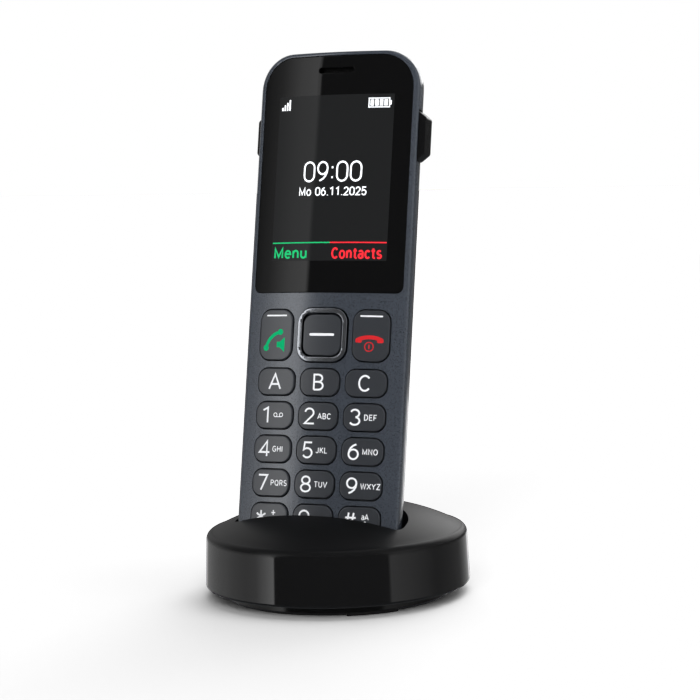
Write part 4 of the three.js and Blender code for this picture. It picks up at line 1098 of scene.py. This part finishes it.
def makeMenuMarks():
    depth = keypad["proud"] + marks["lift"]
    z = menu["z"]
    for name, side in (("call_key", -1), ("end_key", 1)):
        bm = bmesh.new()
        x = side * menu["softX"]
        barMark(bm, x - 3.4, x + 3.4, z + 5.42, z + 5.88, depth, 0.2)
        settleMark(bm, name + "_dash", name, "key_paint", whitePrintPaintedGlow)
    bm = bmesh.new()
    barMark(bm, -3.9, 3.9, z - 0.25, z + 0.5, depth, 0.3)
    settleMark(bm, "nav_centre_dash", "nav_centre_key", "key_paint", whitePrintPaintedGlow)
    # a lifted handset beside a loudspeaker
    bm = bmesh.new()
    x = -menu["softX"]
    arcMark(bm, x + 2.6, z - 4.9, 5.8, 1.0, 99, 169, depth)
    arcMark(bm, x + 1.55, z + 0.8, 0.45, 0.9, 0, 360, depth + 0.004, 16)
    arcMark(bm, x - 3.15, z - 3.9, 0.45, 0.9, 0, 360, depth + 0.004, 16)
    horn = [(0.45, -2.1), (1.4, -2.1), (3.1, -0.7), (3.1, -5.1), (1.4, -3.7), (0.45, -3.7)]
    shapeMark(bm, [(x + px, z + pz) for px, pz in horn], depth + 0.002)
    settleMark(bm, "call_key_symbol", "call_key", "key_paint", greenPrintPaintedGlow)
    # a handset laid down over an off mark
    bm = bmesh.new()
    x = menu["softX"]
    arcMark(bm, x - 0.3, z - 8.95, 8.5, 1.15, 64, 116, depth)
    for side in (-1, 1):
        end = x - 0.3 + side * 3.25
        barMark(bm, end - 0.95, end + 0.95, z - 2.05, z - 0.85, depth + 0.003, 0.35)
    arcMark(bm, x - 0.35, z - 3.2, 1.3, 0.3, 0, 360, depth)
    barMark(bm, x - 0.52, x - 0.18, z - 3.85, z - 2.55, depth, 0.12)
    settleMark(bm, "end_key_symbol", "end_key", "key_paint", redPrintPaintedGlow)


display = {
    "halfX": 18.36, "low": 89.3, "high": 138.25, "panel": 0.02, "lit": 0.045,
    "signal": {"x": -17.5, "z": 134.1, "wide": 0.5, "pitch": 0.8, "highs": (1.0, 1.7, 2.4, 3.2)},
    "cell": {
        "left": 10.6, "right": 17.1, "low": 134.2, "high": 137.1, "line": 0.3,
        "bars": 4, "barX": 0.6, "barZ": 0.55, "barWide": 1.05, "barPitch": 1.4,
    },
    "rule": {"left": -18.2, "middle": 0.8, "right": 18.2, "low": 94.45, "high": 94.8},
}


def makeScreen():
    lit = display["lit"]
    bm = bmesh.new()
    prism(bm, 0, (display["low"] + display["high"]) / 2, display["halfX"],
          (display["high"] - display["low"]) / 2, 0.15, -display["panel"], 0.05, segments=3)
    bendToFace(bm, 1.2)
    bmesh.ops.recalc_face_normals(bm, faces=bm.faces[:])
    panel = objectFrom(bm, "screen_panel")
    settle(panel, inHandset, "handset", "black_gloss", panelGlow, weighted=False)

    bm = bmesh.new()
    signal = display["signal"]
    for i, high in enumerate(signal["highs"]):
        x = signal["x"] + i * signal["pitch"]
        barMark(bm, x, x + signal["wide"], signal["z"], signal["z"] + high, lit)
    cell = display["cell"]
    left, right, low, high, line = (cell[k] for k in ("left", "right", "low", "high", "line"))
    for x0, x1, z0, z1 in ((left, right, low, low + line), (left, right, high - line, high),
                           (left, left + line, low, high), (right - line, right, low, high)):
        barMark(bm, x0, x1, z0, z1, lit)
    barMark(bm, right, right + 0.45, low + 0.8, high - 0.8, lit + 0.002)
    for i in range(cell["bars"]):
        x = left + cell["barX"] + i * cell["barPitch"]
        barMark(bm, x, x + cell["barWide"], low + cell["barZ"], high - cell["barZ"], lit)
    textMark(bm, "09:00", 0.4, 115.55, 6.2, 0.52, lit, squeeze=1.1)
    textMark(bm, "Mo 06.11.2025", 0.6, 109.7, 2.6, 0.36, lit, squeeze=1.12, spacing=0.17)
    settleMark(bm, "screen_white", "handset", "black_gloss", whiteGlow)
    bm = bmesh.new()
    rule = display["rule"]
    barMark(bm, rule["left"], rule["middle"], rule["low"], rule["high"], lit)
    textMark(bm, "Menu", -17.7, 91.6, 3.4, 0.56, lit, centred=False, squeeze=1.3, spacing=0.17)
    settleMark(bm, "screen_green", "handset", "black_gloss", greenGlow)
    bm = bmesh.new()
    barMark(bm, rule["middle"], rule["right"], rule["low"], rule["high"], lit)
    textMark(bm, "Contacts", 1.35, 91.5, 3.4, 0.56, lit, centred=False, squeeze=1.02, spacing=0.18)
    settleMark(bm, "screen_red", "handset", "black_gloss", redGlow)


base = {
    "wallTopRadius": 38.35, "wallBottomRadius": 38.9, "wallTop": 17.4, "wallBottom": 3.4, "edge": 0.9,
    "crown": 27.4, "square": 0.00461, "fourth": 0.96e-6, "shoulder": 36.4, "wall": 2.0, "steps": 160,
}
slot = {
    "front": 1.1, "side": 1.2, "back": 1.2, "corner": 3.0, "wall": 1.6,
    "floorGap": 0.35, "floor": 1.6, "lowest": 6.0, "lip": 0.5,
    "lipLow": 19.5, "lipReach": 34,
}
pinHole = {"halfX": 1.4, "halfY": 0.9}
cableNotch = {"halfX": 2.3, "inner": 30, "outer": 45, "high": 4.8}


def domeHeight(r):
    return base["crown"] - base["square"] * r * r - base["fourth"] * r**4


def domeProfile(inset, dome, shoulder):
    radii = [i * (base["shoulder"] - inset) / dome for i in range(dome + 1)]
    points = [(r, domeHeight(r) - inset) for r in radii]
    run = base["wallTopRadius"] - base["shoulder"]
    drop = domeHeight(base["shoulder"]) - base["wallTop"]
    for i in range(1, shoulder + 1):
        turn = pi / 2 * i / shoulder
        points.append(
            (base["shoulder"] - inset + run * sin(turn), base["wallTop"] + drop * cos(turn) - inset * 0.6)
        )
    return points


# Turns a line of radii and heights round the base's axis into a closed solid.
def spunFrom(points, steps):
    bm = bmesh.new()
    verts = [bm.verts.new((r, 0, z)) for r, z in points]
    edges = [bm.edges.new(pair) for pair in zip(verts, verts[1:])]
    bmesh.ops.spin(
        bm, geom=verts + edges, cent=(0, 0, 0), axis=(0, 0, 1), angle=2 * pi, steps=steps,
        use_merge=True, use_duplicate=False,
    )
    bmesh.ops.remove_doubles(bm, verts=bm.verts[:], dist=1e-3)
    bmesh.ops.recalc_face_normals(bm, faces=bm.faces[:])
    return bm


def spunShell():
    edge, low = base["edge"], base["wallBottom"]
    outer = domeProfile(0, 26, 8)
    for i in range(1, 6):
        turn = pi / 2 * (i - 1) / 4
        outer.append((base["wallBottomRadius"] - edge + edge * cos(turn), low + edge - edge * sin(turn)))
    inner = domeProfile(base["wall"], 12, 3)
    rim = [(base["wallBottomRadius"] - base["wall"], low)]
    return spunFrom(outer + rim + inner[::-1], base["steps"])


# The handset's cross-section grown all round, standing on a level of the handset's frame.
def slotTool(grow, bottom, top, lowest):
    half = handset["halfWidth"] + slot["side"] + grow
    front = slot["front"] + grow
    corner = slot["corner"] + grow
    deep = handset["backDepth"] + slot["back"] + grow
    edge = half - corner
    cornerY = sag(edge) - front + corner
    start = max(handset["sideDepth"], cornerY + 0.2)
    points = [(-edge + 2 * edge * i / 24, sag(-edge + 2 * edge * i / 24) - front) for i in range(25)]
    points += [(edge + corner * sin(pi / 16 * i), cornerY - corner * cos(pi / 16 * i)) for i in range(1, 8)]
    points += [(half * cos(pi / 48 * i), start + deep * sin(pi / 48 * i)) for i in range(49)]
    points += [(-edge - corner * cos(pi / 16 * i), cornerY - corner * sin(pi / 16 * i)) for i in range(1, 8)]
    bm = bmesh.new()
    face = bm.faces.new([bm.verts.new((x, y, bottom)) for x, y in points])
    grown = bmesh.ops.extrude_face_region(bm, geom=[face])["geom"]
    raised = [g for g in grown if isinstance(g, bmesh.types.BMVert)]
    bmesh.ops.translate(bm, vec=(0, 0, top - bottom), verts=raised)
    bm.transform(leanBack)
    cutFlat(bm, lowest)
    return objectFrom(bm, "slot room")


def makeBaseTop():
    shell = objectFrom(spunShell(), "base_top_shell_fine")
    under = -slot["floorGap"] - slot["floor"]
    well = slotTool(slot["wall"], under, 60, slot["lowest"] - slot["floor"])
    limit = objectFrom(domeSolid(), "under the dome")
    carve(well, limit, "INTERSECT")
    carve(shell, well, "UNION")
    carve(shell, slotTool(0, -slot["floorGap"], 90, slot["lowest"]))
    bm = bmesh.new()
    for side in (-1, 1):
        x = side * contact["x"]
        block(bm, x - pinHole["halfX"], x + pinHole["halfX"],
              contact["y"] - pinHole["halfY"], contact["y"] + pinHole["halfY"], under - 3, 5)
    bm.transform(leanBack)
    block(bm, -cableNotch["halfX"], cableNotch["halfX"], cableNotch["inner"], cableNotch["outer"],
          0, cableNotch["high"])
    carve(shell, objectFrom(bm, "pin holes and cable notch"))
    bm = opened(shell)
    bmesh.ops.remove_doubles(bm, verts=bm.verts[:], dist=0.02)
    lip = [
        e for e in bm.edges
        if len(e.link_faces) == 2 and e.calc_face_angle(0) > 0.6
        and all(v.co.z > slot["lipLow"] and v.co.xy.length < slot["lipReach"] for v in e.verts)
    ]
    bmesh.ops.bevel(
        bm, geom=lip, offset=slot["lip"], offset_type="OFFSET", affect="EDGES", segments=3, profile=0.5,
        material=-1, clamp_overlap=True,
    )
    store(bm, shell)
    settle(shell, toMetres, "base", "black_plastic", basePlastic, nodes=["base_top_shell"])


# What lies just under the dome, to trim the slot's walls with.
def domeSolid():
    return spunFrom(domeProfile(0.6, 12, 3) + [(38, base["wallBottom"]), (0, base["wallBottom"])], 96)


# A copy of a CAD node with its faces merged and its sharp edges rounded.
def roundedCopy(node, width, material=None, segments=2):
    bm = bmesh.new()
    bm.from_mesh(frame["nodes"][node].data)
    bmesh.ops.scale(bm, vec=(1000, 1000, 1000), verts=bm.verts[:])
    bmesh.ops.remove_doubles(bm, verts=bm.verts[:], dist=1e-3)
    bmesh.ops.dissolve_limit(bm, angle_limit=radians(1.5), verts=bm.verts[:], edges=bm.edges[:])
    obj = objectFrom(bm, node + "_fine")
    body = next(b for b, names in record["behaviour"]["bodies"].items() if node in names)
    slotName = next(s["material_slot"] for s in record["subparts"] if s["node"] == node)
    settle(obj, toMetres, body, slotName, material, nodes=[node], weighted=False)
    edge = obj.modifiers.new("rounded edges", "BEVEL")
    edge.width = width * 0.001
    edge.segments = segments
    edge.limit_method = "ANGLE"
    edge.angle_limit = radians(40)
    step = obj.modifiers.new("even shading", "WEIGHTED_NORMAL")
    step.keep_sharp = True
    return obj


def makeSmallParts():
    rounding = {
        "base_bottom_shell": 0.25, "power_socket": 0.15, "charging_board": 0.05, "main_board": 0.05,
        "loudspeaker": 0.3, "display_module": 0.2, "earpiece_speaker": 0.2, "microphone": 0.1,
        "key_mat": 0.15,
    }
    families = {
        "foot_": 0.25, "base_screw": 0.12, "handset_screw": 0.1, "battery_plate": 0.08,
        "handset_contact": 0.08,
    }
    for node in record["behaviour"]["bodies"]["base"] + record["behaviour"]["bodies"]["handset"]:
        for start, width in families.items():
            if node.startswith(start):
                rounding[node] = width
    rounding.update({"battery_left": 0.25, "battery_right": 0.25})
    rounding.update({"charging_pin_left": 0.12, "charging_pin_right": 0.12})
    for node, width in rounding.items():
        roundedCopy(node, width)
    for node, obj in frame["nodes"].items():
        slotName = next(s["material_slot"] for s in record["subparts"] if s["node"] == node)
        obj.data.materials.clear()
        obj.data.materials.append(finishes[slotName])


makeFrontShell()
makeLens()
makeEarMesh()
print("front shell and lens made")
makeRearShell()
makeCover()
makeSideKeys()
print("rear shell, cover and side keys made")
makeKeys()
makeRing()
makeLegends()
makeMenuMarks()
makeScreen()
print("keys, legends and screen made")
makeBaseTop()
makeSmallParts()
print("base and small parts made")
